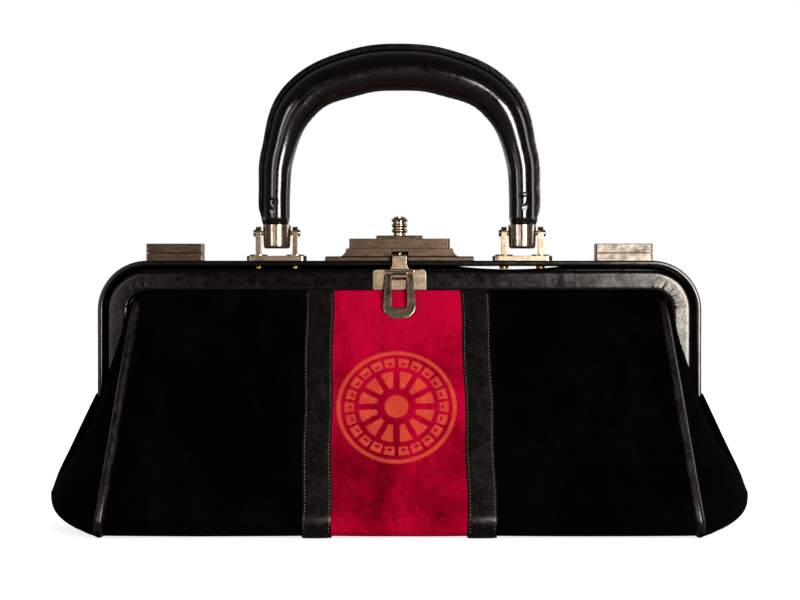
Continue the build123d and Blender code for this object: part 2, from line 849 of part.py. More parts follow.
def roll_stations():
    """Middles and radii of the roll, from the left ferrule over the crown to the right one."""
    swelling = roll_crown_radius - roll_end_radius
    half = [
        (-bracket_offset * across, handle_axis + handle_rise * up, roll_end_radius + swelling * swell)
        for across, up, swell in roll_shares
    ]
    return half + [(-x, z, r) for x, z, r in reversed(half[:-1])]


def make_handle():
    """Leather roll with a flat stitched welt along its outer edge."""
    stations = roll_stations()
    low = handle_axis + ferrule_above
    first = (-bracket_offset, low)
    last = (bracket_offset, low)
    line = Spline(first, *[(x, z) for x, z, _ in stations], last, tangents=[(0, 1), (0, -1)])
    radii = [roll_end_radius] + [r for _, _, r in stations] + [roll_end_radius]
    points = [first] + [(x, z) for x, z, _ in stations] + [last]
    sections = []
    for (x, z), radius in zip(points, radii):
        across = line.tangent_at(line.param_at_point((x, z)))
        plane = Plane(origin=(x, 0, z), x_dir=(0, 1, 0), z_dir=(across.X, 0, across.Y))
        sections.append(plane * Circle(radius))
    roll = loft(sections)
    plug_top = low
    for side in (-1, 1):
        roll = roll + rod_z(socket_radius, low - socket_depth + running_gap, plug_top, side * bracket_offset)
    return roll + make_welt(line, points, radii)


def make_welt(line, points, radii):
    """Flat edge that stands out from the roll, between the two ends."""
    start = handle_axis + ferrule_above + welt_start_rise
    swelling = roll_crown_radius - roll_end_radius
    inner, outer = [], []
    for (x, z), radius in zip(points, radii):
        across = line.tangent_at(line.param_at_point((x, z)))
        side = Vector(-across.Y, across.X)
        swell = (radius - roll_end_radius) / swelling
        reach = radius + welt_foot_proud + (welt_crown_proud - welt_foot_proud) * swell
        z = max(z, start)
        outer.append((x + side.X * reach, z + side.Y * reach))
        inner.append((x + side.X * radius / 2, z + side.Y * radius / 2))
    shape = make_face([
        Spline(*outer), Line(outer[-1], inner[-1]), Spline(*reversed(inner)), Line(inner[0], outer[0])])
    return raise_front(shape, -welt_thickness / 2, welt_thickness / 2)


# Clasps


def knuckle(start, end):
    """A stretch of the clasp's hinge barrel."""
    return rod_x(clasp_knuckle_radius, start, end, clasp_axis_depth, clasp_axis_height)


def clasp_bore(radius):
    """The hole along the clasp's hinge."""
    return rod_x(radius, -clasp_length, clasp_length, clasp_axis_depth, clasp_axis_height)


def make_clasp_base(side):
    """Lower half of a clasp, riveted to the band, with the middle knuckle and a snap stud."""
    half_knuckle = clasp_length * clasp_knuckle_share / 2
    base = block(clasp_length, clasp_depth, clasp_base_height - clasp_part_line / 2, z=frame_top)
    base = chamfer(base.edges().filter_by(Axis.Z), clasp_edge)
    neck_height = clasp_axis_height - frame_top
    neck_middle = clasp_depth / 2 + clasp_knuckle_radius / 2
    neck = block(2 * half_knuckle, clasp_knuckle_radius, neck_height, y=neck_middle, z=frame_top)
    room = block(clasp_length * 2, clasp_knuckle_radius * 2, clasp_base_height,
                 y=clasp_axis_depth, z=clasp_axis_height - clasp_knuckle_radius - soft_gap)
    keep = block(2 * half_knuckle, clasp_depth * 2, clasp_base_height * 2, y=clasp_axis_depth, z=frame_top)
    stud = rod_z(clasp_stud_radius, clasp_split - clasp_part_line, clasp_split + clasp_stud_height)
    base = base - (room - keep) + neck + knuckle(-half_knuckle, half_knuckle) + stud
    base = base - clasp_bore(clasp_pin_radius + running_gap)
    rivet_top = clasp_split - clasp_wall
    for hand in (-1, 1):
        base = base - rod_z(
            clasp_rivet_radius + running_gap, frame_top - cut_over, rivet_top, hand * clasp_rivet_spacing / 2)
    return Pos(side * clasp_offset, 0, 0) * base


def make_clasp_cover(side):
    """Upper half of a clasp, which flips up and back."""
    half = clasp_length / 2
    half_knuckle = clasp_length * clasp_knuckle_share / 2 + soft_gap
    foot = clasp_split + clasp_part_line / 2
    cover = block(clasp_length, clasp_depth, clasp_cover_height - clasp_part_line / 2, z=foot)
    cover = chamfer(cover.edges().filter_by(Axis.Z), clasp_edge)
    cover = fillet(cover.faces().sort_by(Axis.Z)[-1].edges(), clasp_edge / 2)
    pocket = block(clasp_length - 2 * clasp_wall, clasp_depth - 4 * clasp_wall, clasp_pocket_depth, z=foot)
    cover = cover - pocket
    middle_room = block(2 * half_knuckle, 2 * clasp_knuckle_radius + 2 * soft_gap, 2 * clasp_cover_height,
                        y=clasp_axis_depth, z=clasp_axis_height - clasp_cover_height)
    for low, high in ((-half + clasp_edge, -half_knuckle), (half_knuckle, half - clasp_edge)):
        arm = block(high - low, clasp_knuckle_radius, clasp_knuckle_radius,
                    (low + high) / 2, clasp_depth / 2 + clasp_knuckle_radius / 2, clasp_axis_height)
        cover = cover + knuckle(low, high) + arm
    cover = cover - middle_room - clasp_bore(clasp_pin_radius + running_gap)
    return Pos(side * clasp_offset, 0, 0) * cover


def make_clasp_pin(side):
    """Pin along a clasp's hinge barrel."""
    half = clasp_length / 2 - clasp_edge
    middle = side * clasp_offset
    return rod_x(clasp_pin_radius, middle - half, middle + half, clasp_axis_depth, clasp_axis_height)


def make_clasp_rivets():
    """Blind rivets that hold the clasp bases to the band."""
    return [rod_z(clasp_rivet_radius, band_under, clasp_split - clasp_wall, x) for x in clasp_rivet_places()]


def build_parts():
    """Every piece by its name."""
    wrap = make_wrap()
    seam = red_half_width + strap_width / 2
    far = gusset_reach
    strap_left, strap_right = make_straps()
    parts = {
        "velvet_left": strip(wrap, -far, -seam),
        "velvet_red": strip(wrap, -seam, seam),
        "velvet_right": strip(wrap, seam, far),
        "strap_left": strap_left,
        "strap_right": strap_right,
        "base_board": make_board(),
        "lining": make_lining(),
        "carrying_band": make_band(),
        "front_jaw_leather": make_front_cover(),
        "front_jaw_bar": make_bar(*front_bar_args()),
        "rear_jaw_leather": make_rear_cover(),
        "rear_jaw_bar": make_bar(*rear_bar_args()),
        "lock_plate": make_lock_plate(),
        "lock_case": make_lock_case(),
        "lock_collar": make_collar(),
        "lock_rivets": make_lock_rivets(),
        "push_knob": make_knob(),
        "latch_plate": make_latch(),
        "latch_spring": make_spring(),
        "hasp_plate": make_hasp(),
        "pull_bail": make_bail(),
        "post_rivets": make_post_rivets(),
        "handle_grip": make_handle(),
        "clasp_rivets": make_clasp_rivets(),
    }
    for side, name in ((-1, "left"), (1, "right")):
        parts[f"gusset_{name}"] = make_gusset(side)
        parts[f"piping_{name}"] = make_piping(side)
        parts[f"hinge_pin_{name}"] = make_hinge_pin(side)
        parts[f"bracket_{name}"] = make_bracket(side)
        parts[f"handle_pin_{name}"] = make_handle_pin(side)
        parts[f"ferrule_{name}"] = make_ferrule(side)
        parts[f"clasp_base_{name}"] = make_clasp_base(side)
        parts[f"clasp_cover_{name}"] = make_clasp_cover(side)
        parts[f"clasp_pin_{name}"] = make_clasp_pin(side)
    return parts


def main():
    """Builds every piece and writes one STEP file for each."""
    os.makedirs("parts", exist_ok=True)
    for name, shape in build_parts().items():
        solids = shape if isinstance(shape, list) else shape.solids()
        shape = solids[0] if len(solids) == 1 else Compound(children=[Solid(s.wrapped) for s in (
            one for piece in solids for one in piece.solids())])
        export_step(shape, f"parts/{name}.step")


main()
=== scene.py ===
"""Dressed model of a velvet frame handbag: velvet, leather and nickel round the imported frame, in metres."""
from __future__ import annotations

import json
import logging
import math
import random
from dataclasses import dataclass
from enum import Enum
from itertools import accumulate
from typing import Callable, Sequence

import bpy
from mathutils import Matrix, Vector, kdtree, noise

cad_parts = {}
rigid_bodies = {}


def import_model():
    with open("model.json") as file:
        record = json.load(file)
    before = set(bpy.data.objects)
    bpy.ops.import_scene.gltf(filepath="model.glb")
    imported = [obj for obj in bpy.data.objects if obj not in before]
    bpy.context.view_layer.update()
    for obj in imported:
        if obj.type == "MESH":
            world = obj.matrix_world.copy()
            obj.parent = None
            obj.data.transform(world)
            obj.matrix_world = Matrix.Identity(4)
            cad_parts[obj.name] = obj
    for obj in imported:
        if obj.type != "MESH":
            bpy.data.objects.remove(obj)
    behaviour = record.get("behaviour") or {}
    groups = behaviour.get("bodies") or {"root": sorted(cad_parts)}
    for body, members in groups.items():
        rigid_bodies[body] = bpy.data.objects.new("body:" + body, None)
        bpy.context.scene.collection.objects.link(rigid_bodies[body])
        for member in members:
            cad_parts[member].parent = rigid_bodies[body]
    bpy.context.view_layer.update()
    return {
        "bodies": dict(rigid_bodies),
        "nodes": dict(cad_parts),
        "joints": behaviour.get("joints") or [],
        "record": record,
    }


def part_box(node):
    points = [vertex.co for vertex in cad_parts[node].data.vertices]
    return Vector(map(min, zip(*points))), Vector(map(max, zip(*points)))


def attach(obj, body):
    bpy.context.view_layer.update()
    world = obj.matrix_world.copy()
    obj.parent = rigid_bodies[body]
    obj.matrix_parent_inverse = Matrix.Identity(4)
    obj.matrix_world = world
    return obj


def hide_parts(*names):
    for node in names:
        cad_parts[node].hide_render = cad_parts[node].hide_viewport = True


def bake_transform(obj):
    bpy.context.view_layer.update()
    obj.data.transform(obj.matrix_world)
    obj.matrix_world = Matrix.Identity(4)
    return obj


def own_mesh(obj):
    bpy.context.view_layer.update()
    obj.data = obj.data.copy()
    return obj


LOG = logging.getLogger("handbag")
MM = 0.001
TINY = 1e-9
MERGE_DISTANCE = 0.01 * MM
SMOOTH_ANGLE = math.radians(50)
THREAD_THICKNESS = 0.34 * MM
WAVE_PERIOD = 0.31416
MATH = "ShaderNodeMath"
NOISE = "ShaderNodeTexNoise"
RAMP = "ShaderNodeValToRGB"
RANGE = "ShaderNodeMapRange"
Point = tuple[float, float, float]
Size = tuple[float, float]
Colour = tuple[float, float, float, float]
Material = bpy.types.Material
Node = bpy.types.Node
Piece = bpy.types.Object
Socket = bpy.types.NodeSocket
Tree = bpy.types.NodeTree


class Way(Enum):
    """A choice between two ways along an axis, each with its sign."""

    @property
    def label(self) -> str:
        """The word that stands for it in the names of pieces."""
        return self.name.lower()


class Side(Way):
    """Left and right of the bag, as the sign of X."""

    LEFT = -1
    RIGHT = 1


class Face(Way):
    """Front and back of the bag, as the sign of Y."""

    FRONT = -1
    BACK = 1


def linear_colour(hex_colour: str) -> Colour:
    """Turns an sRGB hex colour to linear values.

    Args:
        hex_colour: Six hex digits.

    Returns:
        Red, green, blue and a full alpha.
    """
    channels = [int(hex_colour[i:i + 2], 16) / 255 for i in (0, 2, 4)]
    linear = [c / 12.92 if c <= 0.04045 else ((c + 0.055) / 1.055) ** 2.4 for c in channels]
    return (linear[0], linear[1], linear[2], 1.0)


def grey(value: float) -> Colour:
    """A grey as a ramp stop's colour."""
    return (value, value, value, 1.0)


def smooth_step(low: float, high: float, value: float) -> float:
    """Goes smoothly from 0 at low to 1 at high."""
    share = min(max((value - low) / (high - low), 0.0), 1.0)
    return share * share * (3 - 2 * share)


def mix(a: float, b: float, share: float) -> float:
    """The value a share of the way from a to b."""
    return a + (b - a) * share


def span_at(stops: Sequence[float], value: float) -> tuple[int, float]:
    """Finds the stretch between two stops that a value falls in.

    Args:
        stops: Values in rising order.
        value: A value from the first stop to the last.

    Returns:
        The number of the stop before the value, and the share of the way to the next one.
    """
    index = max(i for i, stop in enumerate(stops[:-1]) if stop <= value + TINY)
    return index, (value - stops[index]) / max(stops[index + 1] - stops[index], TINY)


def set_inputs(tree: Tree, node: Node, inputs: dict) -> None:
    """Sets or links the inputs of a node.

    Args:
        tree: The node's tree.
        node: The node to set.
        inputs: For each input's name or number, its value, a socket to link from, or a node whose first
            output is linked.
    """
    for key, value in inputs.items():
        source = value.outputs[0] if isinstance(value, Node) else value
        if isinstance(source, Socket):
            tree.links.new(source, node.inputs[key])
        else:
            node.inputs[key].default_value = source


def add_node(tree: Tree, kind: str, inputs: dict | None = None, stops: Sequence[tuple[float, Colour]] = (),
             **settings: object) -> Node:
    """Adds one shader node with its settings, values and links.

    Args:
        tree: The node tree to add to.
        kind: Blender's node type.
        inputs: What each input is set to or linked from.
        stops: A place and a colour for each stop of a colour ramp, in order.
        **settings: Properties of the node.

    Returns:
        The new node.
    """
    node = tree.nodes.new(kind)
    for name, value in settings.items():
        setattr(node, name, value)
    set_inputs(tree, node, inputs or {})
    if stops:
        elements = node.color_ramp.elements
        while len(elements) < len(stops):
            elements.new(1.0)
        for element, (place, colour) in zip(elements, stops):
            element.position = place
            element.color = colour
    return node


def new_material(name: str) -> tuple[Material, Tree, Node]:
    """Starts a material with a bare shader.

    Args:
        name: The material's name.

    Returns:
        The material, its node tree and its shader node.
    """
    material = bpy.data.materials.new(name)
    material.use_nodes = True
    tree = material.node_tree
    return material, tree, tree.nodes["Principled BSDF"]


@dataclass(frozen=True)
class RosetteWeave:
    """A round woven ornament of leaves and blocks, drawn in the cloth's own UV map in metres.

    Each ring is given by its middle and its half width, as shares of the radius.
    """

    centre: Size
    radius: float = 25.2 * MM
    leaves: int = 12
    blocks: int = 22
    thread_hex: str = "D24E37"
    thread_pitch: float = 0.95 * MM
    step: float = 0.55 * MM
    wear_size: float = 7.6923 * MM
    rim_ring: Size = (0.955, 0.042)
    block_ring: Size = (0.78, 0.085)
    hollow_ring: Size = (0.76, 0.034)
    leaf_ring: Size = (0.475, 0.155)
    heart_share: float = 0.205
    block_gap: float = 0.36
    hollow_gap: float = 0.82
    leaf_gap: float = 1.12
    leaf_spread: float = 1.1
    edge_sharpness: float = 45.0
    pick_depth: float = 0.16
    pick_level: float = 0.8
    wear_contrast: float = 1.7
    wear_level: float = 0.05

    def mask(self, tree: Tree, uv: Socket) -> Node:
        """Adds the nodes that are 1 on the ornament's threads and 0 elsewhere.

        Args:
            tree: The material's node tree.
            uv: The cloth coordinates, in metres.

        Returns:
            The mask's node.
        """
        split = add_node(tree, "ShaderNodeSeparateXYZ", {0: uv})
        across = self._stepped(tree, split.outputs["X"], self.centre[0])
        up = self._stepped(tree, split.outputs["Y"], self.centre[1])
        up_square = add_node(tree, MATH, {0: up, 1: up}, operation="MULTIPLY")
        square = add_node(tree, MATH, {0: across, 1: across, 2: up_square}, operation="MULTIPLY_ADD")
        root = add_node(tree, MATH, {0: square}, operation="SQRT")
        share = add_node(tree, MATH, {0: root, 1: self.radius}, operation="DIVIDE")
        angle = add_node(tree, MATH, {0: across, 1: up}, operation="ARCTAN2")
        block_wave = self._wave(tree, angle, self.blocks)
        block = self._cut(tree, self._ring(tree, share, self.block_ring), block_wave, self.block_gap)
        hollow = self._cut(tree, self._ring(tree, share, self.hollow_ring), block_wave, self.hollow_gap)
        frame = add_node(tree, MATH, {0: block, 1: hollow}, operation="SUBTRACT", use_clamp=True)
        leaf_edge = add_node(tree, MATH, {0: share, 1: -self.leaf_spread, 2: self.leaf_gap},
                             operation="MULTIPLY_ADD")
        leaf_wave = self._wave(tree, angle, self.leaves)
        leaf = self._cut(tree, self._ring(tree, share, self.leaf_ring), leaf_wave, leaf_edge)
        heart = self._above(tree, self.heart_share, share)
        total = self._ring(tree, share, self.rim_ring)
        for motif in (frame, leaf, heart):
            total = add_node(tree, MATH, {0: total, 1: motif}, operation="MAXIMUM")
        return self._woven(tree, uv, split.outputs["Y"], total)

    def _woven(self, tree: Tree, uv: Socket, along: Socket, drawing: Node) -> Node:
        """Breaks the drawing into rows of thread and rubs it thin in places.

        Args:
            tree: The material's node tree.
            uv: The cloth coordinates, in metres.
            along: The coordinate along the cloth.
            drawing: The node that draws the ornament.

        Returns:
            The node of the worn threads.
        """
        turn = add_node(tree, MATH, {0: along, 1: 2 * math.pi / self.thread_pitch}, operation="MULTIPLY")
        row = add_node(tree, MATH, {0: turn}, operation="SINE")
        pick = add_node(tree, MATH, {0: row, 1: self.pick_depth, 2: self.pick_level},
                        operation="MULTIPLY_ADD")
        wear = add_node(tree, NOISE, {
            "Vector": uv, "Scale": 1 / self.wear_size, "Detail": 5.0, "Roughness": 0.7})
        worn = add_node(tree, MATH, {0: wear.outputs["Fac"], 1: self.wear_contrast, 2: self.wear_level},
                        operation="MULTIPLY_ADD")
        threads = add_node(tree, MATH, {0: drawing, 1: pick}, operation="MULTIPLY")
        return add_node(tree, MATH, {0: threads, 1: worn}, operation="MULTIPLY", use_clamp=True)

    def _stepped(self, tree: Tree, place: Socket, middle: float) -> Node:
        """A distance from the middle in whole weave steps, which gives the ornament its stepped edges."""
        off = add_node(tree, MATH, {0: place, 1: middle}, operation="SUBTRACT")
        return add_node(tree, MATH, {0: off, 1: self.step}, operation="SNAP")

    @staticmethod
    def _wave(tree: Tree, angle: Node, count: int) -> Node:
        """A wave that swings from 0 to 1 a number of times round the ornament.

        Args:
            tree: The material's node tree.
            angle: The angle round the ornament.
            count: How many times it swings.

        Returns:
            The wave's node.
        """
        turn = add_node(tree, MATH, {0: angle, 1: count / 2}, operation="MULTIPLY")
        swing = add_node(tree, MATH, {0: turn}, operation="SINE")
        return add_node(tree, MATH, {0: swing}, operation="ABSOLUTE")

    def _above(self, tree: Tree, value: Node | float, limit: Node | float) -> Node:
        """A soft-edged 1 where a value is above a limit."""
        over = add_node(tree, MATH, {0: value, 1: limit}, operation="SUBTRACT")
        return add_node(tree, MATH, {0: over, 1: self.edge_sharpness}, operation="MULTIPLY", use_clamp=True)

    def _ring(self, tree: Tree, share: Node, ring: Size) -> Node:
        """A soft-edged ring.

        Args:
            tree: The material's node tree.
            share: The share of the radius.
            ring: The ring's middle and half width.

        Returns:
            The node that is 1 on the ring.
        """
        off = add_node(tree, MATH, {0: share, 1: ring[0]}, operation="SUBTRACT")
        distance = add_node(tree, MATH, {0: off}, operation="ABSOLUTE")
        return self._above(tree, ring[1], distance)

    def _cut(self, tree: Tree, ring: Node, wave: Node, gap: Node | float) -> Node:
        """A ring cut into pieces where a wave falls below a gap's width."""
        ends = self._above(tree, wave, gap)
        return add_node(tree, MATH, {0: ring, 1: ends}, operation="MULTIPLY")


@dataclass(frozen=True)
class VelvetPile:
    """Cut-pile cotton velvet: soft light at grazing angles, crushed patches and the ribs of its weave."""

    name: str
    deep_hex: str
    pile_hex: str
    bright_hex: str
    sheen: float
    sheen_hex: str
    patch_size: float = 26.0 * MM
    patch_stretch: Point = (1.25, 1.0, 0.6)
    tuft_size: float = 0.9 * MM
    tuft_strength: float = 0.5
    tuft_height: float = 0.5 * MM
    rib_pitch: float = 1.4 * MM
    rib_strength: float = 0.25
    # The next four paint shade down the cloth and a highlight where it turns under the bag.
    nap_fall: float = 0.0
    fall_length: float = 108.0 * MM
    turn_start: float = 0.9
    turn_gain: float = 0.8
    shades: Point = (0.46, 0.66, 0.88)
    rosette: RosetteWeave | None = None

    def build(self) -> Material:
        """Makes the material.

        Returns:
            The new material.
        """
        material, tree, shader = new_material(self.name)
        uv = add_node(tree, "ShaderNodeUVMap", uv_map="cloth").outputs[0]
        place = add_node(tree, "ShaderNodeTexCoord").outputs["Object"]
        upright = add_node(tree, "ShaderNodeMapping", {"Vector": place, "Scale": self.patch_stretch})
        patch = add_node(tree, NOISE, {
            "Vector": upright, "Scale": 1 / self.patch_size, "Detail": 5.0, "Roughness": 0.65,
            "Distortion": 0.8})
        # The tufts and ribs are drawn coarser than real pile so that they show.
        tuft = add_node(tree, NOISE, {
            "Vector": place, "Scale": 1 / self.tuft_size, "Detail": 2.0, "Roughness": 0.7}).outputs["Fac"]
        wale = add_node(tree, "ShaderNodeTexWave", {
            "Vector": uv, "Scale": WAVE_PERIOD / self.rib_pitch, "Distortion": 0.8, "Detail": 1.0},
            bands_direction="Y")
        ribs = add_node(tree, MATH, {0: wale.outputs["Fac"], 1: self.rib_strength}, operation="MULTIPLY")
        shade = add_node(tree, MATH, {0: patch.outputs["Fac"], 1: ribs}, operation="SUBTRACT")
        shade = add_node(tree, MATH, {0: tuft, 1: self.tuft_strength, 2: shade}, operation="MULTIPLY_ADD")
        # Painted shade down the cloth and a painted highlight where it turns under the bag.
        if self.nap_fall:
            shade = self._napped(tree, uv, shade)
        tints = [linear_colour(tint) for tint in (self.deep_hex, self.pile_hex, self.bright_hex)]
        colour = add_node(tree, RAMP, {0: shade}, stops=list(zip(self.shades, tints))).outputs[0]
        if self.rosette:
            colour = add_node(tree, "ShaderNodeMix", {
                0: self.rosette.mask(tree, uv), 6: colour, 7: linear_colour(self.rosette.thread_hex)},
                data_type="RGBA").outputs[2]
        height = add_node(tree, MATH, {0: tuft, 1: ribs}, operation="SUBTRACT")
        bump = add_node(tree, "ShaderNodeBump", {
            "Strength": 0.5, "Distance": self.tuft_height, "Height": height})
        set_inputs(tree, shader, {
            "Base Color": colour, "Normal": bump, "Roughness": 0.95, "Specular IOR Level": 0.02,
            "Sheen Weight": self.sheen, "Sheen Roughness": 0.35, "Sheen Tint": linear_colour(self.sheen_hex)})
        return material

    def _napped(self, tree: Tree, uv: Socket, shade: Node) -> Node:
        """Paints shade on the pile down the cloth, and a painted highlight where the cloth turns under the
        bag.

        Args:
            tree: The material's node tree.
            uv: The cloth coordinates, in metres.
            shade: The pile's shade.

        Returns:
            The changed shade.
        """
        along = add_node(tree, "ShaderNodeSeparateXYZ", {0: uv}).outputs["Y"]
        fall = add_node(tree, MATH, {0: along, 1: self.nap_fall / self.fall_length}, operation="MULTIPLY")
        painted_shaded = add_node(tree, MATH, {0: shade, 1: fall}, operation="SUBTRACT")
        level = add_node(tree, MATH, {0: painted_shaded, 1: self.nap_fall / 2}, operation="ADD")
        turn = add_node(tree, RANGE, {
            "Value": along, "From Min": self.turn_start * self.fall_length, "From Max": self.fall_length,
            "To Max": self.turn_gain * self.nap_fall})
        return add_node(tree, MATH, {0: level, 1: turn}, operation="ADD")


@dataclass(frozen=True)
class GlazedLeather:
    """Glazed black calf: a fine pore grain under a glossy, handled surface, worn brown in places."""

    name: str
    colour_hex: str = "060505"
    worn_hex: str = "1C1511"
    grain_size: float = 1.1 * MM
    crease_size: float = 4.4 * MM
    crease_strength: float = 1.6
    wear_size: float = 17.0 * MM
    wear_share: float = 0.64
    roughness: float = 0.22
    gloss: float = 0.32
    grain_height: float = 0.03 * MM

    def build(self) -> Material:
        """Makes the material.

        Returns:
            The new material.
        """
        material, tree, shader = new_material(self.name)
        place = add_node(tree, "ShaderNodeTexCoord").outputs["Object"]
        wear = add_node(tree, NOISE, {
            "Vector": place, "Scale": 1 / self.wear_size, "Detail": 6.0, "Roughness": 0.65})
        # The pores are drawn coarser than those of calf so that they show.
        pores = add_node(tree, "ShaderNodeTexVoronoi", {
            "Vector": place, "Scale": 1 / self.grain_size}, feature="F1")
        creases = add_node(tree, NOISE, {
            "Vector": place, "Scale": 1 / self.crease_size, "Detail": 5.0, "Roughness": 0.7,
            "Distortion": 1.2}).outputs["Fac"]
        black = linear_colour(self.colour_hex)
        colour = add_node(tree, RAMP, {0: wear.outputs["Fac"]}, stops=[
            (0.45, black), (self.wear_share, black), (0.86, linear_colour(self.worn_hex))])
        gloss = add_node(tree, RAMP, {0: creases}, stops=[
            (0.3, grey(self.roughness * 0.65)), (0.72, grey(self.roughness * 1.7))])
        height = add_node(tree, MATH, {0: creases, 1: self.crease_strength, 2: pores.outputs["Distance"]},
                          operation="MULTIPLY_ADD")
        bump = add_node(tree, "ShaderNodeBump", {
            "Strength": 0.55, "Distance": self.grain_height, "Height": height})
        set_inputs(tree, shader, {
            "Base Color": colour, "Roughness": gloss, "Normal": bump, "Specular IOR Level": self.gloss})
        return material


@dataclass(frozen=True)
class PlatedMetal:
    """Cast and stamped metal under worn plating: fine draw lines, dull stains and painted highlights along
    its edges.
    """

    name: str
    bright_hex: str
    dull_hex: str
    roughness: float
    line_pitch: float = 0.35 * MM
    line_stretch: Point = (0.06, 1.0, 1.0)
    line_height: float = 0.006 * MM
    line_share: float = 0.4
    stain_size: float = 4.5 * MM
    # The edge colour and its share are a highlight painted along the edges.
    edge_hex: str = "D8C6B0"
    edge_width: float = 0.35 * MM
    edge_share: float = 0.75

    def build(self) -> Material:
        """Makes the material.

        Returns:
            The new material.
        """
        material, tree, shader = new_material(self.name)
        place = add_node(tree, "ShaderNodeTexCoord").outputs["Object"]
        stain = add_node(tree, NOISE, {
            "Vector": place, "Scale": 1 / self.stain_size, "Detail": 6.0, "Roughness": 0.7}).outputs["Fac"]
        # The draw lines are wider apart than real ones so that they show.
        drawn = add_node(tree, "ShaderNodeMapping", {"Vector": place, "Scale": self.line_stretch})
        lines = add_node(tree, NOISE, {
            "Vector": drawn, "Scale": 1 / self.line_pitch, "Detail": 2.0}).outputs["Fac"]
        streak = add_node(tree, "ShaderNodeMix", {0: self.line_share, 2: stain, 3: lines})
        colour = add_node(tree, RAMP, {0: streak}, stops=[
            (0.38, linear_colour(self.dull_hex)), (0.6, linear_colour(self.bright_hex))])
        # Near an edge the rounded normal leaves the flat one, and there a highlight is painted into the
        # colour.
        rounded = add_node(tree, "ShaderNodeBevel", {"Radius": self.edge_width}, samples=6)
        flat = add_node(tree, "ShaderNodeNewGeometry").outputs["Normal"]
        agreement = add_node(tree, "ShaderNodeVectorMath", {0: rounded, 1: flat}, operation="DOT_PRODUCT")
        painted_edge_highlight = add_node(tree, RANGE, {
            "Value": agreement.outputs["Value"], "From Min": 0.99, "From Max": 0.86,
            "To Max": self.edge_share})
        # The colour with the painted edge highlight mixed in.
        worn = add_node(tree, "ShaderNodeMix", {
            0: painted_edge_highlight, 6: colour, 7: linear_colour(self.edge_hex)}, data_type="RGBA").outputs[2]
        gloss = add_node(tree, RAMP, {0: stain}, stops=[
            (0.3, grey(self.roughness + 0.14)), (0.7, grey(self.roughness - 0.06))])
        bump = add_node(tree, "ShaderNodeBump", {
            "Strength": 0.35, "Distance": self.line_height, "Height": lines, "Normal": rounded})
        set_inputs(tree, shader, {"Base Color": worn, "Roughness": gloss, "Normal": bump, "Metallic": 1.0})
        return material


@dataclass(frozen=True)
class WovenCloth:
    """Plain-woven cotton or pressed board: a fine check of threads with a dry surface."""

    name: str
    dark_hex: str
    light_hex: str
    thread_pitch: float = 0.7 * MM
    mottle_threads: float = 20.0
    weave_strength: float = 0.35
    thread_height: float = 0.1 * MM

    def build(self) -> Material:
        """Makes the material.

        Returns:
            The new material.
        """
        material, tree, shader = new_material(self.name)
        place = add_node(tree, "ShaderNodeTexCoord").outputs["Object"]
        # The weave is drawn coarser than the real one so that it shows.
        check = add_node(tree, "ShaderNodeTexChecker", {
            "Vector": place, "Scale": 1 / self.thread_pitch}).outputs["Fac"]
        mottle = add_node(tree, NOISE, {
            "Vector": place, "Scale": 1 / (self.mottle_threads * self.thread_pitch), "Detail": 4.0})
        shade = add_node(tree, MATH, {0: check, 1: self.weave_strength, 2: mottle.outputs["Fac"]},
                         operation="MULTIPLY_ADD")
        colour = add_node(tree, RAMP, {0: shade}, stops=[
            (0.3, linear_colour(self.dark_hex)), (0.9, linear_colour(self.light_hex))])
        bump = add_node(tree, "ShaderNodeBump", {
            "Strength": 0.3, "Distance": self.thread_height, "Height": check})
        set_inputs(tree, shader, {"Base Color": colour, "Normal": bump, "Roughness": 0.9})
        return material


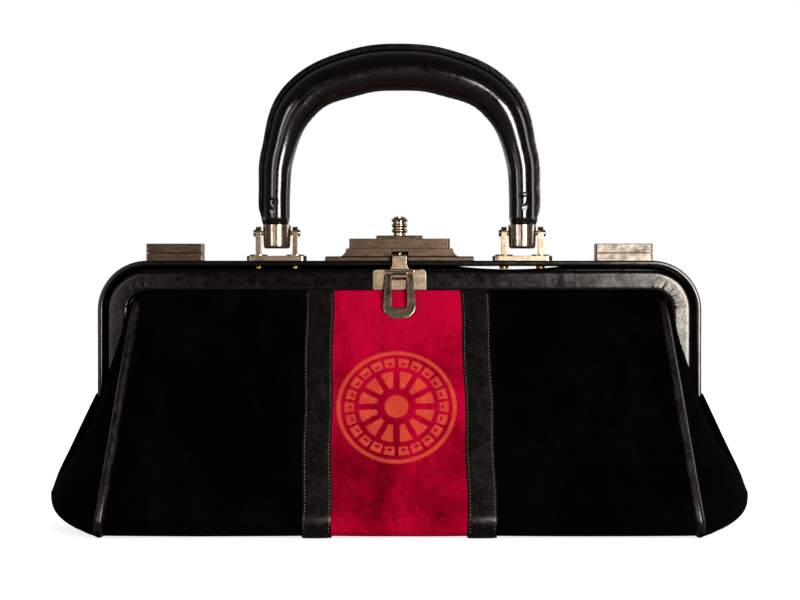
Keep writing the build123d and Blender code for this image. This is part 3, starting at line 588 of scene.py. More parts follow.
class Wardrobe:
    """Every material of the bag, made once."""

    def __init__(self, rosette: RosetteWeave) -> None:
        """Makes the materials.

        Args:
            rosette: The ornament on the red velvet.
        """
        # Black cut pile swallows nearly all light and shows a faint grey bloom at its edges.
        self.velvet_black = VelvetPile(
            "black_cotton_velvet", "000000", "020202", "060506", sheen=0.006, sheen_hex="8A8688").build()
        # Crimson pile glows where it leans to the light, and lies darker and crushed in patches; shade is
        # painted down the cloth, with a painted highlight where it turns under the bag.
        red = dict(deep_hex="56000D", pile_hex="8B0020", bright_hex="B40431", sheen=0.06, sheen_hex="E02860",
                   nap_fall=0.3, rib_strength=0.045)
        self.velvet_red = VelvetPile("crimson_cotton_velvet", **red).build()
        # The same pile with the ornament woven in, in flat, slightly worn orange threads.
        self.velvet_rosette = VelvetPile("crimson_velvet_with_rosette", rosette=rosette, **red).build()
        # Calf glazed under pressure mirrors lamps in long, slightly broken lines.
        self.leather = GlazedLeather(
            "glazed_black_calf", roughness=0.14, gloss=0.45, grain_height=0.02 * MM).build()
        # Strap leather is left satin: a broad, soft shine with the grain showing in it.
        self.strap_leather = GlazedLeather(
            "satin_black_calf", colour_hex="080707", worn_hex="2A211C", roughness=0.3, gloss=0.3).build()
        # Piping takes every knock, so brown shows through its black along most of its length.
        self.piping_leather = GlazedLeather(
            "rubbed_black_calf", colour_hex="0C0808", worn_hex="4A382F", roughness=0.28, gloss=0.5,
            wear_share=0.5, wear_size=9 * MM).build()
        # The handle is polished by hands: a wet-looking shine over faint brown rubs.
        self.handle_leather = GlazedLeather(
            "polished_black_calf", roughness=0.13, gloss=0.68, grain_height=0.016 * MM, worn_hex="2C1D15",
            wear_share=0.6, wear_size=24 * MM).build()
        # Waxed linen has greyed to a dry, dusty thread on the straps, and stays black on the handle.
        self.thread = WovenCloth("waxed_linen_thread", "4A453D", "8A8070", thread_pitch=0.3 * MM).build()
        self.black_thread = WovenCloth(
            "black_waxed_thread", "030303", "100F0E", thread_pitch=0.3 * MM).build()
        # Nickel plate ages warm: bright and a little yellow where it is handled.
        self.nickel = PlatedMetal("aged_nickel_plate", "DCCAB4", "9A8875", roughness=0.17).build()
        # Tarnished plate is dark and brown, with only a painted highlight along its edges.
        self.lock_nickel = PlatedMetal("tarnished_nickel_plate", "705F50", "3A2F26", roughness=0.26).build()
        # Dull plate is greyer and spreads light in a wide, soft patch; on the right clasp it is lighter than
        # the left clasp's plate, as painted light.
        self.clasp_nickel = PlatedMetal("dull_nickel_plate", "8E8880", "565049", roughness=0.42).build()
        # The bail's round wire is polished by fingers, with a broad white highlight painted along its edges.
        self.bail_nickel = PlatedMetal(
            "polished_nickel_plate", "8F8372", "5F554A", roughness=0.2, edge_hex="F2EADD",
            edge_width=0.9 * MM).build()
        # Rubbed plate lies between the bright and the tarnished one.
        self.hasp_nickel = PlatedMetal("rubbed_nickel_plate", "BDAA94", "7A6A5B", roughness=0.24).build()
        # Brass rivets show as small golden points.
        self.brass = PlatedMetal("rivet_brass", "A8842F", "6A4E1A", roughness=0.3).build()
        # Rolled steel is a cool, plain grey.
        self.steel = PlatedMetal("mild_steel", "8F9194", "5C5E62", roughness=0.38).build()
        # Cotton lining and fibreboard are dry, brown and even.
        self.lining = WovenCloth("brown_cotton_lining", "2A211B", "4B3D31").build()
        self.board = WovenCloth("pressed_fibreboard", "5A4128", "7C5E3F", thread_pitch=2.2 * MM).build()


def deselect_all() -> None:
    """Leaves edit mode and deselects every object."""
    if bpy.context.object and bpy.context.object.mode != "OBJECT":
        bpy.ops.object.mode_set(mode="OBJECT")
    bpy.ops.object.select_all(action="DESELECT")


def select_only(piece: Piece) -> None:
    """Makes one object the selected and active one.

    Args:
        piece: The object to select.
    """
    deselect_all()
    piece.select_set(True)
    bpy.context.view_layer.objects.active = piece


def apply_modifier(piece: Piece, kind: str, **settings: object) -> None:
    """Adds a modifier with its settings and applies it.

    Args:
        piece: The object to change.
        kind: Blender's modifier type.
        **settings: Properties of the modifier.
    """
    select_only(piece)
    modifier = piece.modifiers.new(kind.lower(), kind)
    for name, value in settings.items():
        setattr(modifier, name, value)
    bpy.ops.object.modifier_apply(modifier=modifier.name)


def dress(piece: Piece, material: Material) -> None:
    """Gives a piece its material and smooth shading, and reports it.

    Args:
        piece: The object to dress.
        material: Its material.
    """
    piece.data.materials.clear()
    piece.data.materials.append(material)
    select_only(piece)
    bpy.ops.object.shade_smooth_by_angle(angle=SMOOTH_ANGLE)
    LOG.info("dressed %s with %s", piece.name, material.name)


def cloth_grid(name: str, squares: tuple[int, int], form: Callable[[float, float], Point], flat: Size,
               outward: Point) -> Piece:
    """A cloth of even squares, laid over a form with its face outwards.

    Args:
        name: The piece's name.
        squares: How many squares it has across and along.
        form: Gives the place of a point from its shares across and along.
        flat: The cloth's cut width and length, which its UV map keeps in metres.
        outward: The direction that most of its face looks in.

    Returns:
        The new object.
    """
    deselect_all()
    bpy.ops.mesh.primitive_grid_add(x_subdivisions=squares[0], y_subdivisions=squares[1], size=1.0)
    piece = bpy.context.object
    piece.name = name
    mesh = piece.data
    layer = mesh.uv_layers[0] if mesh.uv_layers else mesh.uv_layers.new()
    layer.name = "cloth"
    for loop in mesh.loops:
        place = mesh.vertices[loop.vertex_index].co
        layer.data[loop.index].uv = ((place.x + 0.5) * flat[0], (place.y + 0.5) * flat[1])
    for vertex in mesh.vertices:
        vertex.co = form(vertex.co.x + 0.5, vertex.co.y + 0.5)
    mesh.update()
    if sum(p.normal.dot(Vector(outward)) * p.area for p in mesh.polygons) < 0:
        select_only(piece)
        bpy.ops.object.mode_set(mode="EDIT")
        bpy.ops.mesh.select_all(action="SELECT")
        bpy.ops.mesh.flip_normals()
        bpy.ops.object.mode_set(mode="OBJECT")
    return piece


def stitch_row(name: str, places: Sequence[tuple[Vector, Vector]], length: float) -> Piece:
    """Lays copies of one small stitch along a row, as one piece.

    Args:
        name: The piece's name.
        places: The middle and the direction of each stitch.
        length: The stitch's length.

    Returns:
        The new object.
    """
    deselect_all()
    bpy.ops.mesh.primitive_uv_sphere_add(segments=6, ring_count=4, radius=0.5)
    piece = bpy.context.object
    piece.name = name
    unit = [v.co.copy() for v in piece.data.vertices]
    faces = [tuple(p.vertices) for p in piece.data.polygons]
    scale = Matrix.Diagonal((THREAD_THICKNESS, THREAD_THICKNESS, length))
    vertices, polygons = [], []
    for middle, run in places:
        turn = run.normalized().to_track_quat("Z", "Y").to_matrix()
        base = len(vertices)
        vertices.extend(middle + turn @ (scale @ point) for point in unit)
        polygons.extend(tuple(base + i for i in face) for face in faces)
    mesh = bpy.data.meshes.new(name)
    mesh.from_pydata(vertices, [], polygons)
    old = piece.data
    piece.data = mesh
    bpy.data.meshes.remove(old)
    return piece


def close_mesh() -> None:
    """Merges the doubles of the mesh in edit mode, turns its faces outwards and leaves edit mode."""
    bpy.ops.mesh.select_all(action="SELECT")
    bpy.ops.mesh.remove_doubles(threshold=MERGE_DISTANCE)
    bpy.ops.mesh.normals_make_consistent(inside=False)
    bpy.ops.object.mode_set(mode="OBJECT")


def round_tube(name: str, route: Sequence[Vector], radii: Sequence[float], sides: int = 5) -> Piece:
    """A closed round tube along a route, made from a bevelled curve.

    Args:
        name: The piece's name.
        route: Points along the middle of the tube.
        radii: The tube's radius at each point.
        sides: The curve's bevel resolution.

    Returns:
        The new object.
    """
    curve = bpy.data.curves.new(name, "CURVE")
    curve.dimensions = "3D"
    spline = curve.splines.new("POLY")
    spline.points.add(len(route) - 1)
    thickest = max(radii)
    for point, place, radius in zip(spline.points, route, radii):
        point.co = (*place, 1.0)
        point.radius = radius / thickest
    curve.bevel_depth = thickest
    curve.bevel_resolution = sides
    curve.use_fill_caps = True
    holder = bpy.data.objects.new(name, curve)
    bpy.context.collection.objects.link(holder)
    select_only(holder)
    bpy.ops.object.convert(target="MESH")
    piece = bpy.context.object
    bpy.ops.object.mode_set(mode="EDIT")
    close_mesh()
    return piece


@dataclass
class BodyForm:
    """The bag's outer form, in metres, as a function of height."""

    foot: float = 0.9 * MM
    mouth: float = 101.0 * MM
    mouth_lip: float = 0.6 * MM
    mouth_half_depth: float = 12.6 * MM
    base_half_depth: float = 54.5 * MM
    base_corner: float = 7.0 * MM
    half_width_base: float = 123.0 * MM
    half_width_mouth: float = 110.6 * MM
    red_half: float = 27.8 * MM
    strap_width: float = 12.0 * MM
    gusset_reach: float = 150.0 * MM
    gusset_reach_height: float = 15.5 * MM
    gusset_rounding: float = 1.1 * MM
    gusset_round_height: float = 6.0 * MM
    gusset_rim_height: float = 52.7 * MM
    gusset_rim_reach: float = 132.2 * MM
    gusset_least_bulge: float = 4.0 * MM
    gusset_flattest: float = 0.1 * MM
    gusset_foot_reach: float = 132.0 * MM
    band_half: float = 128.0 * MM
    jaw_inner_half: float = 115.0 * MM
    jaw_front: float = 13.0 * MM
    panel_steps: int = 24
    corner_steps: int = 8

    @property
    def seam(self) -> float:
        """How far each seam of the red strip lies from the middle."""
        return self.red_half + self.strap_width / 2

    @property
    def corner_height(self) -> float:
        """The height where a panel begins to turn under the bag."""
        return self.foot + self.base_corner

    @property
    def base_flat(self) -> float:
        """Half the depth of the base between its two turns."""
        return self.half_depth(self.corner_height) - self.base_corner

    def half_width(self, z: float) -> float:
        """Half the panel's width at a height, to the middle of its piping."""
        return mix(self.half_width_mouth, self.half_width_base, (self.mouth - z) / self.mouth)

    def half_depth(self, z: float) -> float:
        """How far the panel stands from the middle plane at a height, without the base corner."""
        share = min((self.mouth - z) / (self.mouth - self.base_corner), 1.0)
        return mix(self.mouth_half_depth, self.base_half_depth, share)

    def reach(self, z: float) -> float:
        """How far the middle of the gusset stands out at a height, rounded over where it is widest.

        Args:
            z: The height.

        Returns:
            The distance from the middle along X.
        """
        rise = z - self.gusset_reach_height
        rounding = self.gusset_rounding * math.exp(-(rise / self.gusset_round_height) ** 2)
        if rise >= 0:
            share = rise / (self.gusset_rim_height - self.gusset_reach_height)
            least = self.half_width(z) + self.gusset_least_bulge
            return max(mix(self.gusset_reach, self.gusset_rim_reach, share) - rounding, least)
        drop = -rise / (self.gusset_reach_height - self.foot)
        fall = 1 - math.sqrt(max(1 - drop**2, 0))
        return self.gusset_reach - (self.gusset_reach - self.gusset_foot_reach) * fall - rounding

    def gusset_x(self, y: float, z: float) -> float:
        """Finds the gusset's arc at a depth and a height.

        Args:
            y: The depth.
            z: The height.

        Returns:
            Where the arc stands along X.
        """
        half_width, half_depth = self.half_width(z), self.half_depth(z)
        bulge = max(self.reach(z) - half_width, self.gusset_flattest)
        radius = (half_depth**2 + bulge**2) / (2 * bulge)
        return half_width + bulge - radius + math.sqrt(max(radius**2 - y**2, 0.0))

    def turn(self) -> list[Size]:
        """Follows the cloth from the front's top edge down and round to the base.

        Returns:
            The depth from the middle plane and the height of each point.
        """
        points = []
        for i in range(self.panel_steps + 1):
            z = mix(self.mouth + self.mouth_lip, self.corner_height, i / self.panel_steps)
            points.append((-self.half_depth(z), z))
        for i in range(1, self.corner_steps + 1):
            angle = math.pi / 2 * i / self.corner_steps
            y = -self.base_flat - self.base_corner * math.cos(angle)
            points.append((y, self.corner_height - self.base_corner * math.sin(angle)))
        return points

    def turn_length(self) -> float:
        """Length of the turn from the top edge to the base."""
        points = self.turn()
        return sum(math.dist(a, b) for a, b in zip(points, points[1:]))

    def along_turn(self, share: float, proud: float = 0.0) -> Size:
        """Finds a place along the turn.

        Args:
            share: The share of the way from the top edge to the base.
            proud: How far the place stands out from the turn.

        Returns:
            Its depth and its height.
        """
        points = self.turn()
        lengths = list(accumulate((math.dist(a, b) for a, b in zip(points, points[1:])), initial=0.0))
        index, part = span_at(lengths, share * lengths[-1])
        (y0, z0), (y1, z1) = points[index], points[index + 1]
        run = math.hypot(y1 - y0, z1 - z0)
        return mix(y0, y1, part) + proud * (z1 - z0) / run, mix(z0, z1, part) - proud * (y1 - y0) / run


@dataclass
class VelvetBody:
    """Velvet panels, gussets, straps with their stitches, piping and lining.

    Scales of noise are per metre along X or Y and along Z. The cuts are shares of the bag's own sizes.
    """

    form: BodyForm
    wardrobe: Wardrobe
    cloth_thickness: float = 1.2 * MM
    least_area: float = 0.3
    puff: float = 1.4 * MM
    lump: float = 0.5 * MM
    lump_scale: float = 28.0
    base_sag: float = 0.2
    panel_samples: int = 40
    strap_proud: float = 0.9 * MM
    strap_crown: float = 0.35 * MM
    strap_rub: float = 0.18 * MM
    strap_thickness: float = 0.95 * MM
    strap_base_thickness: float = 0.85 * MM
    strap_edge: float = 0.25 * MM
    strap_waver: float = 0.25 * MM
    strap_lean: float = -2.0 * MM
    stitch_pitch: float = 1.5 * MM
    stitch_inset: float = 1.0 * MM
    stitch_length: float = 0.9 * MM
    stitch_proud: float = 0.22 * MM
    stitch_start: float = 0.02
    stitch_span: float = 0.93
    stitch_share: float = 0.9
    stitch_look: float = 0.01
    piping_radius: float = 2.0 * MM
    piping_cover: float = 0.4
    piping_tip_drop: float = 4.5 * MM
    piping_back_rise: float = 0.2 * MM
    piping_tip: Point = (0.35, 0.75, 0.95)
    gusset_fold: float = 1.1 * MM
    gusset_fold_scales: Size = (42.0, 26.0)
    gusset_cut: Size = (1.25, 1.18)
    gusset_turn_in: float = 0.08
    gusset_turn_in_reach: float = 1.0 * MM
    gusset_turn_in_lift: float = 0.3 * MM
    facing_thickness: float = 0.6 * MM
    facing_crown: float = 0.9 * MM
    facing_fold: float = 0.35 * MM
    facing_fold_scales: Size = (70.0, 40.0)
    facing_proud: float = 0.35 * MM
    facing_overlap: float = 0.8 * MM
    facing_flat: Size = (15 * MM, 40 * MM)
    facing_heights: tuple[float, ...] = (54.6 * MM, 68.5 * MM, 80 * MM, 96 * MM)
    facing_edges: tuple[float, ...] = (127.6 * MM, 122.6 * MM, 118.6 * MM, 114.6 * MM)
    lining_thickness: float = 0.5 * MM
    lining_inset: float = 3.0 * MM
    lining_wave: float = 0.7 * MM
    lining_wave_scales: Size = (22.0, 40.0)
    lining_cut: float = 1.1
    lining_floor: float = 6.0 * MM
    lining_floor_inset: float = 0.5 * MM
    lining_floor_drop: float = 0.3 * MM
    lining_floor_lift: float = 0.4 * MM
    fold_start: Point = (0.0, 0.0, 62 * MM)
    fold_end: Point = (0.0, -7.8 * MM, 101 * MM)

    def build(self) -> None:
        """Makes every soft piece of the body."""
        seam = self.form.seam
        for face in Face:
            self._panel(face, "velvet_left", -math.inf, -seam)
            self._panel(face, "velvet_red", -seam, seam)
            self._panel(face, "velvet_right", seam, math.inf)
            for side in Side:
                self._strap(side, face)
        edge = self.form.half_width(self.form.foot)
        self._base("velvet_left", -edge, -seam)
        self._base("velvet_red", -seam, seam)
        self._base("velvet_right", seam, edge)
        for side in Side:
            for face in Face:
                self._gusset(side, face)
            self._leg_facing(side)
            for face in Face:
                self._piping(side, face)
            self._base_piping(side)
        for face in Face:
            self._lining(face)
        self._lining_floor()

    def _hold(self, piece: Piece, face: Face) -> None:
        """Bakes a front piece's transform where it stands, and lets a back piece ride on the bag.

        Args:
            piece: The piece to hold.
            face: The face of the bag that it is on.
        """
        if face is Face.FRONT:
            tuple(self.fold_start)
            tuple(self.fold_end)
            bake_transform(piece)
        else:
            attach(piece, "bag")

    def _sew(self, piece: Piece, flat: Size, material: Material, thickness: float) -> None:
        """Args:
            piece: The cloth.
            flat: The width and length it was cut from; not used.
            material: Its material.
            thickness: The cloth's thickness.
        """
        apply_modifier(piece, "SOLIDIFY", thickness=thickness, offset=-1.0)
        dress(piece, material)

    def _panel(self, face: Face, name: str, start: float, end: float) -> None:
        """Makes one velvet panel of the front or the back.

        Args:
            face: The face of the bag.
            name: The CAD node that the panel stands for.
            start: Where it starts along X, if not at the piping.
            end: Where it ends along X, if not at the piping.
        """
        shape = self.form
        samples = self.panel_samples
        heights = [shape.along_turn(i / samples)[1] for i in range(samples + 1)]
        red = name == "velvet_red"
        flat = (end - start if red else shape.half_width_base - shape.seam, shape.turn_length())

        def form(u: float, v: float) -> Point:
            """Where a point of the panel lies."""
            low = min(int(v * samples), samples - 1)
            z = mix(heights[low], heights[low + 1], v * samples - low)
            edge = shape.half_width(z) - self.piping_radius * self.piping_cover
            x = mix(max(start, -edge), min(end, edge), u)
            sag = self.base_sag * smooth_step(0.8, 0.95, v)
            swell = math.sin(math.pi * u) ** 0.6 * max(math.sin(math.pi * min(v * 1.04, 1.0)) ** 0.8, sag)
            scale = self.lump_scale
            lump = noise.noise(Vector((x * scale, z * scale, face.value * 3.1))) * self.lump
            y, height = shape.along_turn(v, (self.puff + lump) * swell)
            return (x, face.value * -y, height)
        piece = cloth_grid(f"{name}_{face.label}_cloth", (36, 60), form, flat, (0, face.value, 0.3))
        material = self.wardrobe.velvet_black
        if red:
            material = self.wardrobe.velvet_rosette if face is Face.FRONT else self.wardrobe.velvet_red
        self._sew(piece, flat, material, self.cloth_thickness)
        self._hold(piece, face)
        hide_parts(name)

    def _base(self, name: str, start: float, end: float) -> None:
        """Makes one stretch of the velvet under the bag, between the two turns.

        Args:
            name: The CAD node that it stands for.
            start: Where it starts along X.
            end: Where it ends along X.
        """
        half_depth = self.form.base_flat
        flat = (end - start, 2 * half_depth)

        def form(u: float, v: float) -> Point:
            """Where a point of the cloth lies."""
            sag = self.puff * self.base_sag * math.sin(math.pi * u) ** 0.6
            return (mix(start, end, u), mix(-half_depth, half_depth, v), self.form.foot - sag)
        piece = cloth_grid(f"{name}_base_cloth", (18, 24), form, flat, (0, 0, -1))
        red = name == "velvet_red"
        material = self.wardrobe.velvet_red if red else self.wardrobe.velvet_black
        self._sew(piece, flat, material, self.cloth_thickness)
        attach(piece, "bag")
        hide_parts(name)

    def _strap_edges(self, side: Side) -> Size:
        """The inner and outer edges of a strap along X."""
        return side.value * self.form.red_half, side.value * (self.form.red_half + self.form.strap_width)

    def _strap_shift(self, side: Side, face: Face, share: float) -> float:
        """How far a strap strays from its line: a hand-sewn waver, and a lean at the top of one strap.

        Args:
            side: The strap's side.
            face: The bag's face.
            share: Share of the way from the top edge to the base.

        Returns:
            The shift along X.
        """
        lean = self.strap_lean if side is Side.RIGHT and face is Face.FRONT else 0.0
        return self.strap_waver * math.sin(share * 17) + lean * (1 - share) ** 1.3

    def _strap(self, side: Side, face: Face) -> None:
        """Makes a leather strap of the front or the back, with a row of stitches along each edge.

        Args:
            side: The strap's side.
            face: The bag's face.
        """
        inner, outer = self._strap_edges(side)

        def form(u: float, v: float) -> Point:
            """Where a point of the strap lies."""
            crown = self.strap_crown * math.sin(math.pi * u) ** 0.5
            rub = self.strap_rub * noise.noise(Vector((u * 2.0 + side.value * 5, v * 14, face.value)))
            y, z = self.form.along_turn(v, self.strap_proud + crown + rub)
            return (mix(inner, outer, u) + self._strap_shift(side, face, v), face.value * -y, max(z, 0.0))
        flat = (self.form.strap_width, self.form.turn_length())
        name = f"strap_{side.label}_{face.label}_leather"
        piece = cloth_grid(name, (10, 70), form, flat, (0, face.value, 0.3))
        apply_modifier(piece, "SOLIDIFY", thickness=self.strap_thickness, offset=-1.0)
        apply_modifier(piece, "BEVEL", width=self.strap_edge, segments=2, limit_method="ANGLE")
        dress(piece, self.wardrobe.strap_leather)
        self._hold(piece, face)
        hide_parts(f"strap_{side.label}")
        self._strap_stitches(side, face)
        if face is Face.FRONT:
            self._strap_base(side)

    def _strap_base(self, side: Side) -> None:
        """Makes the stretch of a strap under the base.

        Args:
            side: The strap's side.
        """
        inner, outer = self._strap_edges(side)
        half_depth = self.form.base_flat

        def form(u: float, v: float) -> Point:
            """Where a point of the strap lies."""
            return (mix(inner, outer, u), mix(-half_depth, half_depth, v), self.form.foot - self.strap_proud)
        flat = (self.form.strap_width, 2 * half_depth)
        piece = cloth_grid(f"strap_{side.label}_base_leather", (8, 20), form, flat, (0, 0, -1))
        apply_modifier(piece, "SOLIDIFY", thickness=self.strap_base_thickness, offset=-1.0)
        dress(piece, self.wardrobe.strap_leather)
        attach(piece, "bag")
        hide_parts(f"strap_{side.label}")

    def _strap_stitches(self, side: Side, face: Face) -> None:
        """Makes the two stitch rows of a strap as one piece.

        Args:
            side: The strap's side.
            face: The bag's face.
        """
        inner, outer = self._strap_edges(side)
        inset = side.value * self.stitch_inset
        proud = self.strap_proud + self.stitch_proud
        count = int(self.form.turn_length() * self.stitch_share / self.stitch_pitch)
        places = []
        for x in (inner + inset, outer - inset):
            for i in range(count):
                share = self.stitch_start + (i + 0.5) / count * self.stitch_span
                y, z = self.form.along_turn(share, proud)
                y_next, z_next = self.form.along_turn(share + self.stitch_look, proud)
                run = Vector((0, face.value * -(y_next - y), z_next - z))
                places.append((Vector((x + self._strap_shift(side, face, share), face.value * -y, z)), run))
        piece = stitch_row(f"strap_{side.label}_{face.label}_stitches", places, self.stitch_length)
        dress(piece, self.wardrobe.thread)
        self._hold(piece, face)

    def _gusset_edge(self, share: float) -> Vector:
        """The upper edge of half a gusset on the right, from the piping's top round the jaw's leg to the rim.

        Args:
            share: Share of the way along the edge.

        Returns:
            The place, with its depth as a distance from the middle plane.
        """
        top = self.form.mouth
        rim = self.form.gusset_rim_height
        depth = self.form.jaw_front - 1.5 * MM
        inner = self.form.jaw_inner_half
        band = self.form.band_half
        stops = {
            0.0: (self.form.half_width(top), self.form.half_depth(top), top),
            0.08: (inner - 3.5 * MM, depth, top + 0.3 * MM),
            0.18: (inner + 0.3 * MM, depth, top - 9 * MM),
            0.50: (inner + 0.5 * MM, depth, rim + 7 * MM),
            0.60: (inner + 3 * MM, depth + 0.9 * MM, rim + 1.6 * MM),
            0.70: (band - 3.6 * MM, depth + 1.9 * MM, rim + 1.9 * MM),
            0.78: (band - 0.6 * MM, depth + 2.0 * MM, rim + 4.0 * MM),
            0.84: (band + 0.8 * MM, depth, rim + 4.9 * MM),
            1.0: (band + 0.8 * MM, 0.0, rim + 5.1 * MM),
        }
        index, part = span_at(list(stops), share)
        places = list(stops.values())
        return Vector(places[index]).lerp(Vector(places[index + 1]), part)

    def _gusset(self, side: Side, face: Face) -> None:
        """Makes the front or back half of a bulged velvet side.

        Args:
            side: The side of the bag.
            face: The face of the bag that the half joins.
        """
        shape = self.form
        turn_in = self.gusset_turn_in

        def form(u: float, v: float) -> Point:
            """Where a point of the gusset lies."""
            edge = self._gusset_edge(u)
            if v < turn_in:
                inward = 1 - v / turn_in
                y = shape.half_depth(shape.foot) * (1 - u)
                hem = shape.half_width(shape.foot) - self.gusset_turn_in_reach
                x = mix(shape.gusset_x(y, shape.foot), hem, inward)
                return (side.value * x, face.value * y, shape.foot + self.gusset_turn_in_lift * inward)
            up = (v - turn_in) / (1 - turn_in)
            z = mix(shape.foot, edge.z, up)
            y = shape.half_depth(z) * mix(1 - u, min(edge.y / shape.half_depth(edge.z), 1.0), up)
            pull = smooth_step(0.35, 1.0, up)
            x = shape.gusset_x(y, z) + (edge.x - shape.gusset_x(edge.y, edge.z)) * pull
            away = math.sin(math.pi * u) ** 0.5 * math.sin(math.pi * up)
            scale_y, scale_z = self.gusset_fold_scales
            wave = noise.noise(Vector((y * scale_y + 7, z * scale_z, side.value * 2.0 + face.value)))
            return (side.value * (x + self.gusset_fold * wave * away), face.value * y, z)
        flat = (shape.base_half_depth * self.gusset_cut[0], shape.mouth * self.gusset_cut[1])
        name = f"gusset_{side.label}_{face.label}_cloth"
        piece = cloth_grid(name, (40, 60), form, flat, (side.value, 0, 0))
        self._sew(piece, flat, self.wardrobe.velvet_black, self.cloth_thickness)
        self._hold(piece, face)
        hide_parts(f"gusset_{side.label}")

    def _leg_facing(self, side: Side) -> None:
        """Makes the velvet that turns over the foot of a front jaw's leg, with a slanting outer edge.

        Args:
            side: The side of the bag.
        """
        heights, edges = self.facing_heights, self.facing_edges
        inner = self.form.jaw_inner_half - self.facing_overlap
        front = self.form.jaw_front + self.facing_proud + self.facing_thickness

        def form(u: float, v: float) -> Point:
            """Where a point of the facing lies."""
            z = mix(heights[0], heights[-1], v)
            index, part = span_at(heights, z)
            x = mix(inner, mix(edges[index], edges[index + 1], part), u)
            crown = self.facing_crown * math.sin(math.pi * min(u * 1.1, 1.0)) ** 0.6 * (1 - v) ** 0.5
            scale_x, scale_z = self.facing_fold_scales
            fold = self.facing_fold * noise.noise(Vector((x * scale_x, z * scale_z, side.value * 4.0)))
            return (side.value * x, -(front + crown + abs(fold)), z)
        piece = cloth_grid(f"leg_facing_{side.label}_cloth", (14, 36), form, self.facing_flat, (0, -1, 0))
        self._sew(piece, self.facing_flat, self.wardrobe.velvet_black, self.facing_thickness)
        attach(piece, "front_jaw")

    def _piping(self, side: Side, face: Face) -> None:
        """Makes the front or back length of one side's leather piping.

        Args:
            side: The side of the bag.
            face: The face of the bag.
        """
        shape = self.form
        front = face is Face.FRONT
        corner = shape.corner_height
        start = shape.mouth - (self.piping_tip_drop if front else -self.piping_back_rise)
        route = []
        for i in range(15):
            z = mix(start, corner, (i / 14) ** 1.4)
            route.append(Vector((side.value * shape.half_width(z), face.value * shape.half_depth(z), z)))
        for i in range(1, 7):
            angle = math.pi / 2 * i / 6
            y = shape.half_depth(corner) - shape.base_corner * (1 - math.cos(angle))
            z = corner - (corner - self.piping_radius) * math.sin(angle)
            route.append(Vector((side.value * shape.half_width(z), face.value * y, z)))
        radii = [self.piping_radius] * len(route)
        if front:
            radii[:3] = [share * self.piping_radius for share in self.piping_tip]
        piece = round_tube(f"piping_{side.label}_{face.label}_leather", route, radii)
        dress(piece, self.wardrobe.piping_leather)
        self._hold(piece, face)
        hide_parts(f"piping_{side.label}")

    def _base_piping(self, side: Side) -> None:
        """Makes the length of one side's piping that lies under the bag.

        Args:
            side: The side of the bag.
        """
        low = self.piping_radius
        end = self.form.base_flat
        x = side.value * self.form.half_width(low)
        route = [Vector((x, mix(-end, end, i / 12), low)) for i in range(13)]
        piece = round_tube(f"piping_{side.label}_base_leather", route, [low] * len(route))
        dress(piece, self.wardrobe.piping_leather)
        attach(piece, "bag")
        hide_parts(f"piping_{side.label}")

    def _lining(self, face: Face) -> None:
        """Makes the front or back sheet of the cotton lining.

        Args:
            face: The face of the bag.
        """
        shape = self.form
        top = shape.mouth - self.lining_inset

        def form(u: float, v: float) -> Point:
            """Where a point of the lining lies."""
            z = mix(top, self.lining_floor, v)
            half = shape.half_width(z) - self.lining_inset
            x = mix(-half, half, u)
            scale_x, scale_z = self.lining_wave_scales
            wave = self.lining_wave * noise.noise(Vector((x * scale_x, z * scale_z, face.value)))
            return (x, face.value * (shape.half_depth(z) - self.lining_inset - abs(wave)), z)
        flat = (2 * shape.half_width_base, self.lining_cut * top)
        piece = cloth_grid(f"lining_{face.label}_cloth", (60, 24), form, flat, (0, -face.value, 0))
        self._sew(piece, flat, self.wardrobe.lining, self.lining_thickness)
        self._hold(piece, face)
        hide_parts("lining")

    def _lining_floor(self) -> None:
        """Makes the floor of the cotton lining."""
        floor = self.lining_floor
        inset = self.lining_inset + self.lining_floor_inset
        half = self.form.half_width(floor) - inset
        half_depth = self.form.half_depth(floor) - inset

        def form(u: float, v: float) -> Point:
            """Where a point of the lining lies."""
            lift = self.lining_floor_lift * abs(noise.noise(Vector((u * 6, v * 4, 0.3))))
            z = floor - self.lining_floor_drop + lift
            return (mix(-half, half, u), mix(-half_depth, half_depth, v), z)
        flat = (2 * self.form.half_width_base, 2 * half_depth)
        piece = cloth_grid("lining_floor_cloth", (40, 20), form, flat, (0, 0, 1))
        self._sew(piece, flat, self.wardrobe.lining, self.lining_thickness)
        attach(piece, "bag")
        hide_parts("lining")


